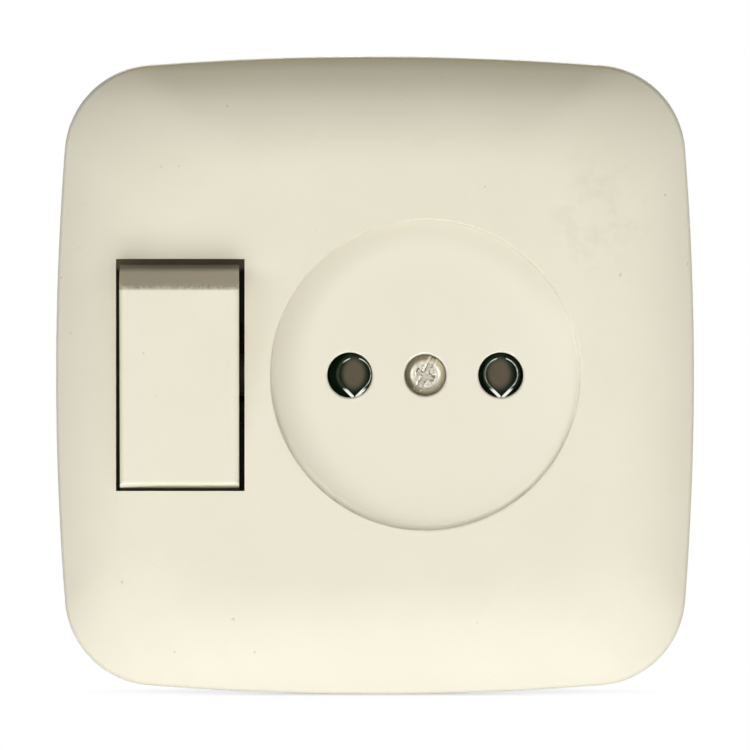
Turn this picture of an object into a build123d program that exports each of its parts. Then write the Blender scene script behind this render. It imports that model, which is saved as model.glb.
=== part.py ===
import math
import os

from build123d import *

os.makedirs("parts", exist_ok=True)

# Driving sizes in millimetres. X runs right, Y into the wall, Z up; the wall is at Y = 0.
PLATE_SIZE = 80.5
PLATE_CORNER_R = 11.5
PLATE_SIDE_SAG = 2.0
PLATE_ROLL_R = 21.3
PLATE_ROLL_ANGLE = 40.0
ROLL_STEPS = 8
PLATE_SKIRT = 4.9
PLATE_RIM_R = 1.0
PLATE_WALL = 2.0
PIN_PITCH = 19.0
PIN_HOLE_D = 5.7
SOCKET_X = 6.33
DISH_D = 39.0
DISH_DEPTH = 1.05
DISH_BLEND_RISE = 0.4
DISH_LIP_R = 0.25
MOUTH_R = 0.3
SCREW_HEAD_D = 5.0
SCREW_HEAD_H = 1.9
SCREW_SHANK_D = 3.0
ROCKER_X = -24.6
ROCKER_WIDTH = 15.0
ROCKER_TILT = 9.0
ROCKER_FACE = 8.03
ROCKER_END_R = 14.9
ROCKER_WALL = 1.6
ROCKER_GAP = 0.35
WINDOW_SIDE_GAP = 0.6
WINDOW_H = 29.2
PIVOT_HEIGHT = 4.0
PIVOT_PIN_D = 2.5
HUB_D = 5.2
CRADLE_X = -20.0
CRADLE_WIDTH = 7.0
STEM_D = 6.0
STEM_BORE_D = 3.7
PLUNGER_D = 3.4
STEM_LENGTH = 10.0
PLUNGER_REACH = 13.65
SEESAW_DROP = 15.8
SEESAW_TILT = 10.0
SEESAW_DIHEDRAL = 10.0
SEESAW_WIDTH = 5.0
STRIP_T = 0.8
RING_INSET = 5.25
RING_T = 1.2
RING_SLOT_INSET = 5.0
RING_SLOT_W = 4.0
RING_SLOT_L = 4.4
BASE_D = 55.0
BASE_DEPTH = 22.0
TOWER_H = 5.8
SPIGOT_SEAT = 4.4
LEAF_T = 0.35
LEAF_INNER_R = 2.0
LEAF_FRONT = 6.2
LEAF_BACK = 6.0
CLAW_X_HALF = 3.8
CLAW_SCREW_Z = 20.5
CLAW_HINGE_DEPTH = 1.6
CLAW_HINGE_Z = 23.7
CLAW_REST = 3.0
CLAW_T = 1.2
CLAW_NUT = 5.0
TERMINAL_W = 6.0

# Sizes that follow from the driving ones.
PLATE_HALF = PLATE_SIZE / 2
RING_SIZE = PLATE_SIZE - 2 * RING_INSET
RING_SLOT_PITCH = RING_SIZE - 2 * RING_SLOT_INSET
FOOT_X = RING_SIZE / 2 - 6.0
FOOT_Z = RING_SIZE / 2 - 9.5
DISH_BLEND = DISH_D / 2 - (PIN_PITCH / 2 + PIN_HOLE_D / 2 + MOUTH_R + 0.2)
PIN_X = (SOCKET_X - PIN_PITCH / 2, SOCKET_X + PIN_PITCH / 2)
TILT = math.radians(ROCKER_TILT)
SWING = math.radians(-SEESAW_TILT)
DIHEDRAL = math.radians(SEESAW_DIHEDRAL)
PIVOT_Y = -PIVOT_HEIGHT
SEESAW_Y = PIVOT_Y + SEESAW_DROP


def cushion_rings(half, roll_r, skirt):
    """Half width and height of each outline of the rolled edge, from the skirt to the flat face."""
    start = math.radians(PLATE_ROLL_ANGLE)
    rings = []
    for step in range(ROLL_STEPS + 1):
        a = start * (1 - step / ROLL_STEPS)
        rings.append((half - roll_r * (math.sin(start) - math.sin(a)), skirt + roll_r * (math.cos(a) - math.cos(start))))
    return rings, skirt + roll_r * (1 - math.cos(start))


OUTER_RINGS, PLATE_RISE = cushion_rings(PLATE_HALF, PLATE_ROLL_R, PLATE_SKIRT)
INNER_HALF = PLATE_HALF - PLATE_WALL
INNER_PLAIN, INNER_TOP = cushion_rings(INNER_HALF, PLATE_ROLL_R - PLATE_WALL, 0.0)
INNER_SKIRT = PLATE_RISE - PLATE_WALL - INNER_TOP
INNER_RINGS = [(h, z + INNER_SKIRT) for h, z in INNER_PLAIN]
DISH_FLOOR = PLATE_RISE - DISH_DEPTH
DISH_BACK = DISH_FLOOR - PLATE_WALL
HEAD_TOP = DISH_FLOOR - 0.35
HEAD_SEAT = HEAD_TOP - SCREW_HEAD_H
WINDOW_R = ROCKER_END_R + ROCKER_GAP
WINDOW_W = ROCKER_WIDTH + 2 * WINDOW_SIDE_GAP
FACE_HALF = math.sqrt(ROCKER_END_R ** 2 - ROCKER_FACE ** 2)
CAP_FOOT = ROCKER_FACE - 4.85
CAP_CEILING = ROCKER_FACE - 1.75

# Cover plate: moulded cushion with rolled edges, hollow behind.
with BuildPart() as cover_plate:
    with BuildSketch(Plane.XZ) as skirt_outline:
        with BuildLine():
            c = PLATE_HALF - PLATE_SIDE_SAG
            ThreePointArc((-c, -c), (0, -PLATE_HALF), (c, -c))
            ThreePointArc((c, -c), (PLATE_HALF, 0), (c, c))
            ThreePointArc((c, c), (0, PLATE_HALF), (-c, c))
            ThreePointArc((-c, c), (-PLATE_HALF, 0), (-c, -c))
        make_face()
        fillet(skirt_outline.vertices(), PLATE_CORNER_R)
    extrude(amount=PLATE_SKIRT)
    for half, height in OUTER_RINGS:
        with BuildSketch(Plane.XZ.offset(height)) as outer_outline:
            with BuildLine():
                c = half * (1 - PLATE_SIDE_SAG / PLATE_HALF)
                ThreePointArc((-c, -c), (0, -half), (c, -c))
                ThreePointArc((c, -c), (half, 0), (c, c))
                ThreePointArc((c, c), (0, half), (-c, c))
                ThreePointArc((-c, c), (-half, 0), (-c, -c))
            make_face()
            fillet(outer_outline.vertices(), min(PLATE_CORNER_R, 0.86 * half))
    loft()
    with BuildSketch(Plane.XZ) as hollow_foot:
        with BuildLine():
            c = INNER_HALF * (1 - PLATE_SIDE_SAG / PLATE_HALF)
            ThreePointArc((-c, -c), (0, -INNER_HALF), (c, -c))
            ThreePointArc((c, -c), (INNER_HALF, 0), (c, c))
            ThreePointArc((c, c), (0, INNER_HALF), (-c, c))
            ThreePointArc((-c, c), (-INNER_HALF, 0), (-c, -c))
        make_face()
        fillet(hollow_foot.vertices(), PLATE_CORNER_R - PLATE_WALL)
    extrude(amount=INNER_SKIRT, mode=Mode.SUBTRACT)
    for half, height in INNER_RINGS:
        with BuildSketch(Plane.XZ.offset(height)) as inner_outline:
            with BuildLine():
                c = half * (1 - PLATE_SIDE_SAG / PLATE_HALF)
                ThreePointArc((-c, -c), (0, -half), (c, -c))
                ThreePointArc((c, -c), (half, 0), (c, c))
                ThreePointArc((c, c), (0, half), (-c, c))
                ThreePointArc((-c, c), (-half, 0), (-c, -c))
            make_face()
            fillet(inner_outline.vertices(), min(PLATE_CORNER_R - PLATE_WALL, 0.86 * half))
    loft(mode=Mode.SUBTRACT)
    # Thick round pad behind the dish, and the spigot that centres the plate on the base.
    with BuildSketch(Plane.XZ.offset(DISH_BACK)):
        with Locations((SOCKET_X, 0)):
            Circle(DISH_D / 2 + 2.0)
    extrude(amount=PLATE_WALL + 0.1)
    with BuildSketch(Plane.XZ.offset(SPIGOT_SEAT)):
        with Locations((SOCKET_X, 0)):
            Circle(4.5)
    extrude(amount=DISH_BACK - SPIGOT_SEAT + 0.5)
    # Feet that stand on the support ring.
    with BuildSketch(Plane.XZ.offset(RING_T)):
        with Locations((FOOT_X, FOOT_Z), (FOOT_X, -FOOT_Z), (-FOOT_X, FOOT_Z), (-FOOT_X, -FOOT_Z)):
            Circle(2.2)
    extrude(amount=PLATE_RISE - 1.6 - RING_T)
    # Round dish for the plug.
    with BuildSketch(Plane.XY) as dish_profile:
        with BuildLine():
            Line((SOCKET_X, -DISH_FLOOR), (SOCKET_X + DISH_D / 2 - DISH_BLEND, -DISH_FLOOR))
            TangentArc(
                (SOCKET_X + DISH_D / 2 - DISH_BLEND, -DISH_FLOOR),
                (SOCKET_X + DISH_D / 2 - 0.1, -DISH_FLOOR - DISH_BLEND_RISE),
                tangent=(1, 0),
            )
            Line(
                (SOCKET_X + DISH_D / 2 - 0.1, -DISH_FLOOR - DISH_BLEND_RISE),
                (SOCKET_X + DISH_D / 2 + 0.2, -PLATE_RISE - 1.0),
            )
            Line((SOCKET_X + DISH_D / 2 + 0.2, -PLATE_RISE - 1.0), (SOCKET_X, -PLATE_RISE - 1.0))
            Line((SOCKET_X, -PLATE_RISE - 1.0), (SOCKET_X, -DISH_FLOOR))
        make_face()
    revolve(axis=Axis((SOCKET_X, 0, 0), (0, 1, 0)), mode=Mode.SUBTRACT)
    # Pin holes, the seat of the cover screw and its clearance hole.
    with BuildSketch(Plane.XZ):
        with Locations((PIN_X[0], 0), (PIN_X[1], 0)):
            Circle(PIN_HOLE_D / 2)
    extrude(amount=PLATE_RISE + 1, mode=Mode.SUBTRACT)
    with BuildSketch(Plane.XZ.offset(HEAD_SEAT)):
        with Locations((SOCKET_X, 0)):
            Circle(SCREW_HEAD_D / 2 + 0.15)
    extrude(amount=PLATE_RISE, mode=Mode.SUBTRACT)
    with BuildSketch(Plane.XZ):
        with Locations((SOCKET_X, 0)):
            Circle(SCREW_SHANK_D / 2 + 0.3)
    extrude(amount=PLATE_RISE, mode=Mode.SUBTRACT)
    # Softened mouths of the pin holes and of the screw hole.
    mouths = (
        cover_plate.edges()
        .filter_by(GeomType.CIRCLE)
        .filter_by(lambda e: abs(e.center().Y + DISH_FLOOR) < 0.01 and e.radius < 4.0)
    )
    fillet(mouths, MOUTH_R)
    # Window whose end walls run round the rocker's own axis.
    with BuildSketch(Plane.YZ.offset(ROCKER_X + 0.1 - WINDOW_W / 2)):
        with Locations((PIVOT_Y, 0)):
            Circle(WINDOW_R)
        with Locations((PIVOT_Y - 5.0, 0)):
            Rectangle(10.0, WINDOW_H)
    extrude(amount=WINDOW_W, mode=Mode.SUBTRACT)
    # Softened lip of the dish.
    lip = (
        cover_plate.edges()
        .filter_by(GeomType.CIRCLE)
        .filter_by(lambda e: abs(e.center().Y + PLATE_RISE) < 0.01 and abs(e.radius - DISH_D / 2) < 1.0)
    )
    fillet(lip, DISH_LIP_R)
    # Rounded edge between the skirt and the roll.
    rim = cover_plate.edges().filter_by(
        lambda e: abs(e.center().Y + PLATE_SKIRT) < 0.01 and e.center().length > 0.8 * PLATE_HALF
    )
    fillet(rim, PLATE_RIM_R)
cover_plate.part.label = "cover_plate"
export_step(cover_plate.part, "parts/cover_plate.step")

# Rocker cap: moulded shell with cylindrical ends, drawn about its own tilted axis.
cap_plane = Plane(
    origin=(ROCKER_X - ROCKER_WIDTH / 2, PIVOT_Y, 0),
    x_dir=(0, -math.sin(TILT), math.cos(TILT)),
    z_dir=(1, 0, 0),
)
FOOT_HALF = math.sqrt(ROCKER_END_R ** 2 - CAP_FOOT ** 2)
INNER_END_R = ROCKER_END_R - ROCKER_WALL
INNER_FOOT = math.sqrt(INNER_END_R ** 2 - (CAP_FOOT - 1) ** 2)
INNER_CEILING = math.sqrt(INNER_END_R ** 2 - CAP_CEILING ** 2)
MID_OUT = math.atan2(CAP_FOOT + ROCKER_FACE, FOOT_HALF + FACE_HALF)
MID_IN = math.atan2(CAP_FOOT - 1 + CAP_CEILING, INNER_FOOT + INNER_CEILING)
with BuildPart() as rocker_cap:
    with BuildSketch(cap_plane):
        with BuildLine():
            Line((-FACE_HALF, ROCKER_FACE), (FACE_HALF, ROCKER_FACE))
            ThreePointArc(
                (FACE_HALF, ROCKER_FACE),
                (ROCKER_END_R * math.cos(MID_OUT), ROCKER_END_R * math.sin(MID_OUT)),
                (FOOT_HALF, CAP_FOOT),
            )
            Line((FOOT_HALF, CAP_FOOT), (-FOOT_HALF, CAP_FOOT))
            ThreePointArc(
                (-FOOT_HALF, CAP_FOOT),
                (-ROCKER_END_R * math.cos(MID_OUT), ROCKER_END_R * math.sin(MID_OUT)),
                (-FACE_HALF, ROCKER_FACE),
            )
        make_face()
    extrude(amount=ROCKER_WIDTH)
    front_edges = rocker_cap.faces().filter_by(GeomType.PLANE).sort_by(
        lambda f: f.center().dot(cap_plane.y_dir)
    )[-1].edges()
    fillet(front_edges, 0.55)
    with BuildSketch(cap_plane.offset(ROCKER_WALL)):
        with BuildLine():
            Line((-INNER_CEILING, CAP_CEILING), (INNER_CEILING, CAP_CEILING))
            ThreePointArc(
                (INNER_CEILING, CAP_CEILING),
                (INNER_END_R * math.cos(MID_IN), INNER_END_R * math.sin(MID_IN)),
                (INNER_FOOT, CAP_FOOT - 1),
            )
            Line((INNER_FOOT, CAP_FOOT - 1), (-INNER_FOOT, CAP_FOOT - 1))
            ThreePointArc(
                (-INNER_FOOT, CAP_FOOT - 1),
                (-INNER_END_R * math.cos(MID_IN), INNER_END_R * math.sin(MID_IN)),
                (-INNER_CEILING, CAP_CEILING),
            )
        make_face()
    extrude(amount=ROCKER_WIDTH - 2 * ROCKER_WALL, mode=Mode.SUBTRACT)
    # Snap hooks that grip the cradle's plate.
    with BuildSketch(cap_plane.offset(ROCKER_WIDTH / 2 - 2.0)):
        for side in (1, -1):
            with BuildLine():
                Polyline(
                    (side * 9.6, CAP_CEILING + 0.3),
                    (side * 11.0, CAP_CEILING + 0.3),
                    (side * 11.0, CAP_CEILING - 2.9),
                    (side * 9.7, CAP_CEILING - 2.9),
                    (side * 9.0, CAP_CEILING - 2.3),
                    (side * 9.0, CAP_CEILING - 1.9),
                    (side * 9.6, CAP_CEILING - 1.9),
                    close=True,
                )
            make_face()
    extrude(amount=4.0)
rocker_cap.part.label = "rocker_cap"
export_step(rocker_cap.part, "parts/rocker_cap.step")

# Rocker cradle: plate under the cap, web, hub on the pivot pin and the stem that guides the plunger.
hub_plane = Plane(
    origin=(CRADLE_X - CRADLE_WIDTH / 2, PIVOT_Y, 0),
    x_dir=(0, -math.sin(TILT), math.cos(TILT)),
    z_dir=(1, 0, 0),
)
gusset_plane = Plane(
    origin=(0, PIVOT_Y, 0),
    x_dir=(1, 0, 0),
    z_dir=(0, math.sin(TILT), -math.cos(TILT)),
)
stem_plane = Plane(
    origin=(CRADLE_X, PIVOT_Y, 0),
    x_dir=(1, 0, 0),
    z_dir=(0, math.cos(TILT), math.sin(TILT)),
)
SPRING_SEAT = 2.3
PLUNGER_TOP = 8.0
with BuildPart() as rocker_cradle:
    with BuildSketch(cap_plane.offset(ROCKER_WALL + 0.25)):
        with Locations((0, CAP_CEILING - 0.9)):
            Rectangle(18.8, 1.8)
    extrude(amount=ROCKER_WIDTH - 2 * ROCKER_WALL - 0.5)
    with BuildSketch(hub_plane):
        with Locations((0, (CAP_CEILING - 1.0) / 2)):
            Rectangle(HUB_D, CAP_CEILING - 1.0)
    extrude(amount=4.4)
    with BuildSketch(hub_plane):
        Circle(HUB_D / 2)
    extrude(amount=CRADLE_WIDTH)
    # Gusset under the overhang of the plate.
    with BuildSketch(gusset_plane.offset(-0.8)):
        with BuildLine():
            Polyline(
                (CRADLE_X - CRADLE_WIDTH / 2 + 0.5, HUB_D / 2 + 0.6),
                (CRADLE_X - CRADLE_WIDTH / 2 + 0.5, CAP_CEILING - 1.0),
                (ROCKER_X - ROCKER_WIDTH / 2 + ROCKER_WALL + 1.0, CAP_CEILING - 1.0),
                close=True,
            )
        make_face()
    extrude(amount=1.6)
    with BuildSketch(stem_plane):
        Circle(STEM_D / 2)
    extrude(amount=STEM_LENGTH)
    with BuildSketch(stem_plane.offset(SPRING_SEAT)):
        Circle(STEM_BORE_D / 2)
    extrude(amount=STEM_LENGTH, mode=Mode.SUBTRACT)
    with BuildSketch(hub_plane.offset(-1.0)):
        Circle(PIVOT_PIN_D / 2 + 0.1)
    extrude(amount=CRADLE_WIDTH + 2.0, mode=Mode.SUBTRACT)
rocker_cradle.part.label = "rocker_cradle"
export_step(rocker_cradle.part, "parts/rocker_cradle.step")

# Pivot pin of the rocker, held in the lugs of the support ring.
with BuildPart() as rocker_pin:
    with BuildSketch(Plane.YZ.offset(CRADLE_X - CRADLE_WIDTH / 2 - 2.3)):
        with Locations((PIVOT_Y, 0)):
            Circle(PIVOT_PIN_D / 2)
    extrude(amount=CRADLE_WIDTH + 4.6)
rocker_pin.part.label = "rocker_pin"
export_step(rocker_pin.part, "parts/rocker_pin.step")

# Plunger with a rounded nose, guided in the stem.
with BuildPart() as plunger:
    with BuildSketch(stem_plane.offset(PLUNGER_TOP)):
        Circle(PLUNGER_D / 2)
    extrude(amount=PLUNGER_REACH - PLUNGER_TOP)
    fillet(plunger.edges().sort_by(lambda e: e.center().dot(stem_plane.z_dir))[-1], PLUNGER_D / 2 - 0.3)
plunger.part.label = "plunger"
export_step(plunger.part, "parts/plunger.step")

# Coil spring between the plunger and the end of the stem's bore.
with BuildPart() as plunger_spring:
    with BuildLine() as coil:
        Helix(
            pitch=(PLUNGER_TOP - SPRING_SEAT - 0.6) / 4.5,
            height=PLUNGER_TOP - SPRING_SEAT - 0.6,
            radius=1.25,
            center=stem_plane.from_local_coords((0, 0, SPRING_SEAT + 0.3)),
            direction=stem_plane.z_dir,
        )
    with BuildSketch(Plane(origin=coil.line @ 0, z_dir=coil.line % 0)):
        RegularPolygon(0.28, 8)
    sweep(is_frenet=True)
plunger_spring.part.label = "plunger_spring"
export_step(plunger_spring.part, "parts/plunger_spring.step")

# Seesaw contact: a bent strip whose two ears hang on the pivot pin.
seesaw_plane = Plane(
    origin=(CRADLE_X - SEESAW_WIDTH / 2, SEESAW_Y, 0),
    x_dir=(0, -math.sin(SWING), math.cos(SWING)),
    z_dir=(1, 0, 0),
)
TIP_ARM = 7.0
ARM = TIP_ARM + 1.7
SEESAW_SEAT = 1.2
TIP_T = 0.9
with BuildPart() as contact_seesaw:
    with BuildSketch(seesaw_plane):
        with BuildLine():
            Polyline(
                (0, SEESAW_SEAT),
                (ARM * math.cos(DIHEDRAL), SEESAW_SEAT + ARM * math.sin(DIHEDRAL)),
                (
                    ARM * math.cos(DIHEDRAL) - STRIP_T * math.sin(DIHEDRAL),
                    SEESAW_SEAT + ARM * math.sin(DIHEDRAL) + STRIP_T * math.cos(DIHEDRAL),
                ),
                (0, SEESAW_SEAT + STRIP_T / math.cos(DIHEDRAL)),
                (
                    -ARM * math.cos(DIHEDRAL) + STRIP_T * math.sin(DIHEDRAL),
                    SEESAW_SEAT + ARM * math.sin(DIHEDRAL) + STRIP_T * math.cos(DIHEDRAL),
                ),
                (-ARM * math.cos(DIHEDRAL), SEESAW_SEAT + ARM * math.sin(DIHEDRAL)),
                close=True,
            )
        make_face()
    extrude(amount=SEESAW_WIDTH)
    for ear in (0.0, SEESAW_WIDTH - 0.6):
        with BuildSketch(seesaw_plane.offset(ear)):
            with Locations((0, 0.7)):
                Rectangle(3.0, 1.6)
            Circle(1.5)
            Circle(0.85, mode=Mode.SUBTRACT)
        extrude(amount=0.6)
contact_seesaw.part.label = "contact_seesaw"
export_step(contact_seesaw.part, "parts/contact_seesaw.step")

# Contact tips riveted under both ends of the seesaw.
VERTEX_Y = SEESAW_Y - SEESAW_SEAT * math.cos(SWING)
VERTEX_Z = -SEESAW_SEAT * math.sin(SWING)
UPPER_ARM = SWING + DIHEDRAL
LOWER_ARM = SWING - DIHEDRAL
with BuildPart() as seesaw_tips:
    with BuildSketch(
        Plane(
            origin=(
                CRADLE_X,
                VERTEX_Y - TIP_ARM * math.sin(UPPER_ARM),
                VERTEX_Z + TIP_ARM * math.cos(UPPER_ARM),
            ),
            x_dir=(1, 0, 0),
            z_dir=(0, math.cos(UPPER_ARM), math.sin(UPPER_ARM)),
        )
    ):
        Circle(1.5)
    extrude(amount=TIP_T)
    with BuildSketch(
        Plane(
            origin=(
                CRADLE_X,
                VERTEX_Y + TIP_ARM * math.sin(LOWER_ARM),
                VERTEX_Z - TIP_ARM * math.cos(LOWER_ARM),
            ),
            x_dir=(1, 0, 0),
            z_dir=(0, math.cos(LOWER_ARM), math.sin(LOWER_ARM)),
        )
    ):
        Circle(1.5)
    extrude(amount=TIP_T)
seesaw_tips.part.label = "seesaw_tips"
export_step(seesaw_tips.part, "parts/seesaw_tips.step")

# Pivot pin of the seesaw.
with BuildPart() as seesaw_pin:
    with BuildSketch(Plane.YZ.offset(CRADLE_X - SEESAW_WIDTH / 2 - 0.3)):
        with Locations((SEESAW_Y, 0)):
            Circle(0.75)
    extrude(amount=SEESAW_WIDTH + 0.6)
seesaw_pin.part.label = "seesaw_pin"
export_step(seesaw_pin.part, "parts/seesaw_pin.step")

# Common strip: bracket with two ears for the pin and a leg to the live terminal.
STRIP_Y = SEESAW_Y + 2.8
LIVE_X = -8.8
with BuildPart() as common_strip:
    with BuildSketch(Plane.XZ.offset(-STRIP_Y)):
        with Locations((CRADLE_X, -0.5)):
            Rectangle(4.0, 6.0)
        with Locations(((CRADLE_X + LIVE_X) / 2, -1.7)):
            Rectangle(LIVE_X - CRADLE_X + TERMINAL_W, 3.4)
        with Locations((LIVE_X, -3.0)):
            Rectangle(TERMINAL_W, 6.0)
    extrude(amount=-STRIP_T)
    for ear in (CRADLE_X - 1.7, CRADLE_X + 1.0):
        with BuildSketch(Plane.YZ.offset(ear)):
            with Locations((SEESAW_Y, 0)):
                Circle(1.05)
            with Locations((SEESAW_Y + 1.6, 0)):
                Rectangle(3.2, 2.1)
            with Locations((SEESAW_Y, 0)):
                Circle(0.8, mode=Mode.SUBTRACT)
        extrude(amount=0.7)
common_strip.part.label = "common_strip"
export_step(common_strip.part, "parts/common_strip.step")

# Fixed contacts: bent strips from under the seesaw's ends to their terminals.
FIXED_TIP_Z = VERTEX_Z + TIP_ARM
FIXED_Y = VERTEX_Y + TIP_T + 0.1 + 0.45
FIXED_X = -17.0
FIXED_Z = 12.4
with BuildPart() as upper_fixed_contact:
    with BuildSketch(Plane.XZ.offset(-FIXED_Y)):
        with Locations((CRADLE_X, (5.6 + FIXED_Z + 1.6) / 2)):
            Rectangle(4.0, FIXED_Z + 1.6 - 5.6)
        with Locations((FIXED_X, FIXED_Z + 0.8)):
            Rectangle(TERMINAL_W, 1.6)
    extrude(amount=-STRIP_T)
upper_fixed_contact.part.label = "upper_fixed_contact"
export_step(upper_fixed_contact.part, "parts/upper_fixed_contact.step")

with BuildPart() as lower_fixed_contact:
    with BuildSketch(Plane.XZ.offset(-FIXED_Y)):
        with Locations((CRADLE_X, -(5.6 + FIXED_Z + 1.6) / 2)):
            Rectangle(4.0, FIXED_Z + 1.6 - 5.6)
        with Locations((FIXED_X, -FIXED_Z - 0.8)):
            Rectangle(TERMINAL_W, 1.6)
    extrude(amount=-STRIP_T)
lower_fixed_contact.part.label = "lower_fixed_contact"
export_step(lower_fixed_contact.part, "parts/lower_fixed_contact.step")

# Contact tips on the fixed strips.
with BuildPart() as fixed_tips:
    with BuildSketch(Plane.XZ.offset(-FIXED_Y)):
        with Locations((CRADLE_X, FIXED_TIP_Z), (CRADLE_X, -FIXED_TIP_Z)):
            Circle(1.5)
    extrude(amount=0.45)
fixed_tips.part.label = "fixed_tips"
export_step(fixed_tips.part, "parts/fixed_tips.step")

# Socket contacts: two bowed leaves that meet in a V below and run on into a strip.
LEFT_LEAF_X = PIN_X[0] + 0.6
RIGHT_LEAF_X = PIN_X[1] + 0.1
LEAF_OUTER_R = LEAF_INNER_R + LEAF_T
LEAF_TOP = math.radians(106.0)
LEAF_LOW = math.radians(225.0)
LEAF_LIFT = 0.1
V_IN = LEAF_LIFT - LEAF_INNER_R * math.sqrt(2)
V_OUT = LEAF_LIFT - LEAF_OUTER_R * math.sqrt(2) + LEAF_T
LEG_END = -5.0
with BuildPart() as socket_contact_left:
    with BuildSketch(Plane(origin=(LEFT_LEAF_X, LEAF_BACK, 0), x_dir=(1, 0, 0), z_dir=(0, -1, 0))):
        for side in (1, -1):
            with BuildLine():
                Polyline(
                    (side * LEAF_OUTER_R * math.cos(LEAF_LOW), LEAF_LIFT + LEAF_OUTER_R * math.sin(LEAF_LOW)),
                    (-side * LEAF_T, V_OUT),
                    (-side * LEAF_T, LEG_END),
                    (0, LEG_END),
                    (0, V_IN),
                    (side * LEAF_INNER_R * math.cos(LEAF_LOW), LEAF_LIFT + LEAF_INNER_R * math.sin(LEAF_LOW)),
                )
                ThreePointArc(
                    (side * LEAF_INNER_R * math.cos(LEAF_LOW), LEAF_LIFT + LEAF_INNER_R * math.sin(LEAF_LOW)),
                    (-side * LEAF_INNER_R, LEAF_LIFT),
                    (side * LEAF_INNER_R * math.cos(LEAF_TOP), LEAF_LIFT + LEAF_INNER_R * math.sin(LEAF_TOP)),
                )
                Line(
                    (side * LEAF_INNER_R * math.cos(LEAF_TOP), LEAF_LIFT + LEAF_INNER_R * math.sin(LEAF_TOP)),
                    (side * LEAF_OUTER_R * math.cos(LEAF_TOP), LEAF_LIFT + LEAF_OUTER_R * math.sin(LEAF_TOP)),
                )
                ThreePointArc(
                    (side * LEAF_OUTER_R * math.cos(LEAF_TOP), LEAF_LIFT + LEAF_OUTER_R * math.sin(LEAF_TOP)),
                    (-side * LEAF_OUTER_R, LEAF_LIFT),
                    (side * LEAF_OUTER_R * math.cos(LEAF_LOW), LEAF_LIFT + LEAF_OUTER_R * math.sin(LEAF_LOW)),
                )
            make_face()
    extrude(amount=LEAF_BACK + LEAF_FRONT)
    with BuildSketch(Plane.XZ.offset(-LEAF_BACK)):
        with Locations(((LEFT_LEAF_X + LIVE_X) / 2 - TERMINAL_W / 4, LEG_END + STRIP_T / 2)):
            Rectangle(LEFT_LEAF_X - LIVE_X + TERMINAL_W / 2, STRIP_T)
    extrude(amount=3.0)
socket_contact_left.part.label = "socket_contact_left"
export_step(socket_contact_left.part, "parts/socket_contact_left.step")

NEUTRAL_Z = -12.0
with BuildPart() as socket_contact_right:
    with BuildSketch(Plane(origin=(RIGHT_LEAF_X, LEAF_BACK, 0), x_dir=(1, 0, 0), z_dir=(0, -1, 0))):
        for side in (1, -1):
            with BuildLine():
                Polyline(
                    (side * LEAF_OUTER_R * math.cos(LEAF_LOW), LEAF_LIFT + LEAF_OUTER_R * math.sin(LEAF_LOW)),
                    (-side * LEAF_T, V_OUT),
                    (-side * LEAF_T, LEG_END),
                    (0, LEG_END),
                    (0, V_IN),
                    (side * LEAF_INNER_R * math.cos(LEAF_LOW), LEAF_LIFT + LEAF_INNER_R * math.sin(LEAF_LOW)),
                )
                ThreePointArc(
                    (side * LEAF_INNER_R * math.cos(LEAF_LOW), LEAF_LIFT + LEAF_INNER_R * math.sin(LEAF_LOW)),
                    (-side * LEAF_INNER_R, LEAF_LIFT),
                    (side * LEAF_INNER_R * math.cos(LEAF_TOP), LEAF_LIFT + LEAF_INNER_R * math.sin(LEAF_TOP)),
                )
                Line(
                    (side * LEAF_INNER_R * math.cos(LEAF_TOP), LEAF_LIFT + LEAF_INNER_R * math.sin(LEAF_TOP)),
                    (side * LEAF_OUTER_R * math.cos(LEAF_TOP), LEAF_LIFT + LEAF_OUTER_R * math.sin(LEAF_TOP)),
                )
                ThreePointArc(
                    (side * LEAF_OUTER_R * math.cos(LEAF_TOP), LEAF_LIFT + LEAF_OUTER_R * math.sin(LEAF_TOP)),
                    (-side * LEAF_OUTER_R, LEAF_LIFT),
                    (side * LEAF_OUTER_R * math.cos(LEAF_LOW), LEAF_LIFT + LEAF_OUTER_R * math.sin(LEAF_LOW)),
                )
            make_face()
    extrude(amount=LEAF_BACK + LEAF_FRONT)
    with BuildSketch(Plane.XZ.offset(-LEAF_BACK)):
        with Locations((RIGHT_LEAF_X, (LEG_END + NEUTRAL_Z) / 2)):
            Rectangle(2 * LEAF_T, LEG_END - NEUTRAL_Z)
    extrude(amount=3.0)
socket_contact_right.part.label = "socket_contact_right"
export_step(socket_contact_right.part, "parts/socket_contact_right.step")

# Terminal blocks: brass blocks with a wire hole from behind and a clamp screw from the rim.
WIRE_R = 1.5
CLAMP_Y = 8.0
with BuildPart() as terminal_upper:
    with BuildSketch(Plane.XZ.offset(-3.0)):
        with Locations((FIXED_X, FIXED_Z + 3.0)):
            Rectangle(TERMINAL_W, 6.0)
        with Locations((FIXED_X, FIXED_Z + 3.3)):
            Circle(WIRE_R, mode=Mode.SUBTRACT)
    extrude(amount=-(FIXED_Y - 3.0))
    with BuildSketch(Plane.XY.offset(FIXED_Z + 3.3)):
        with Locations((FIXED_X, CLAMP_Y)):
            Circle(1.25)
    extrude(amount=6.0, mode=Mode.SUBTRACT)
terminal_upper.part.label = "terminal_upper"
export_step(terminal_upper.part, "parts/terminal_upper.step")

with BuildPart() as terminal_lower:
    with BuildSketch(Plane.XZ.offset(-3.0)):
        with Locations((FIXED_X, -FIXED_Z - 3.0)):
            Rectangle(TERMINAL_W, 6.0)
        with Locations((FIXED_X, -FIXED_Z - 3.3)):
            Circle(WIRE_R, mode=Mode.SUBTRACT)
    extrude(amount=-(FIXED_Y - 3.0))
    with BuildSketch(Plane.XY.offset(-FIXED_Z - 3.3)):
        with Locations((FIXED_X, CLAMP_Y)):
            Circle(1.25)
    extrude(amount=-6.0, mode=Mode.SUBTRACT)
terminal_lower.part.label = "terminal_lower"
export_step(terminal_lower.part, "parts/terminal_lower.step")

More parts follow.
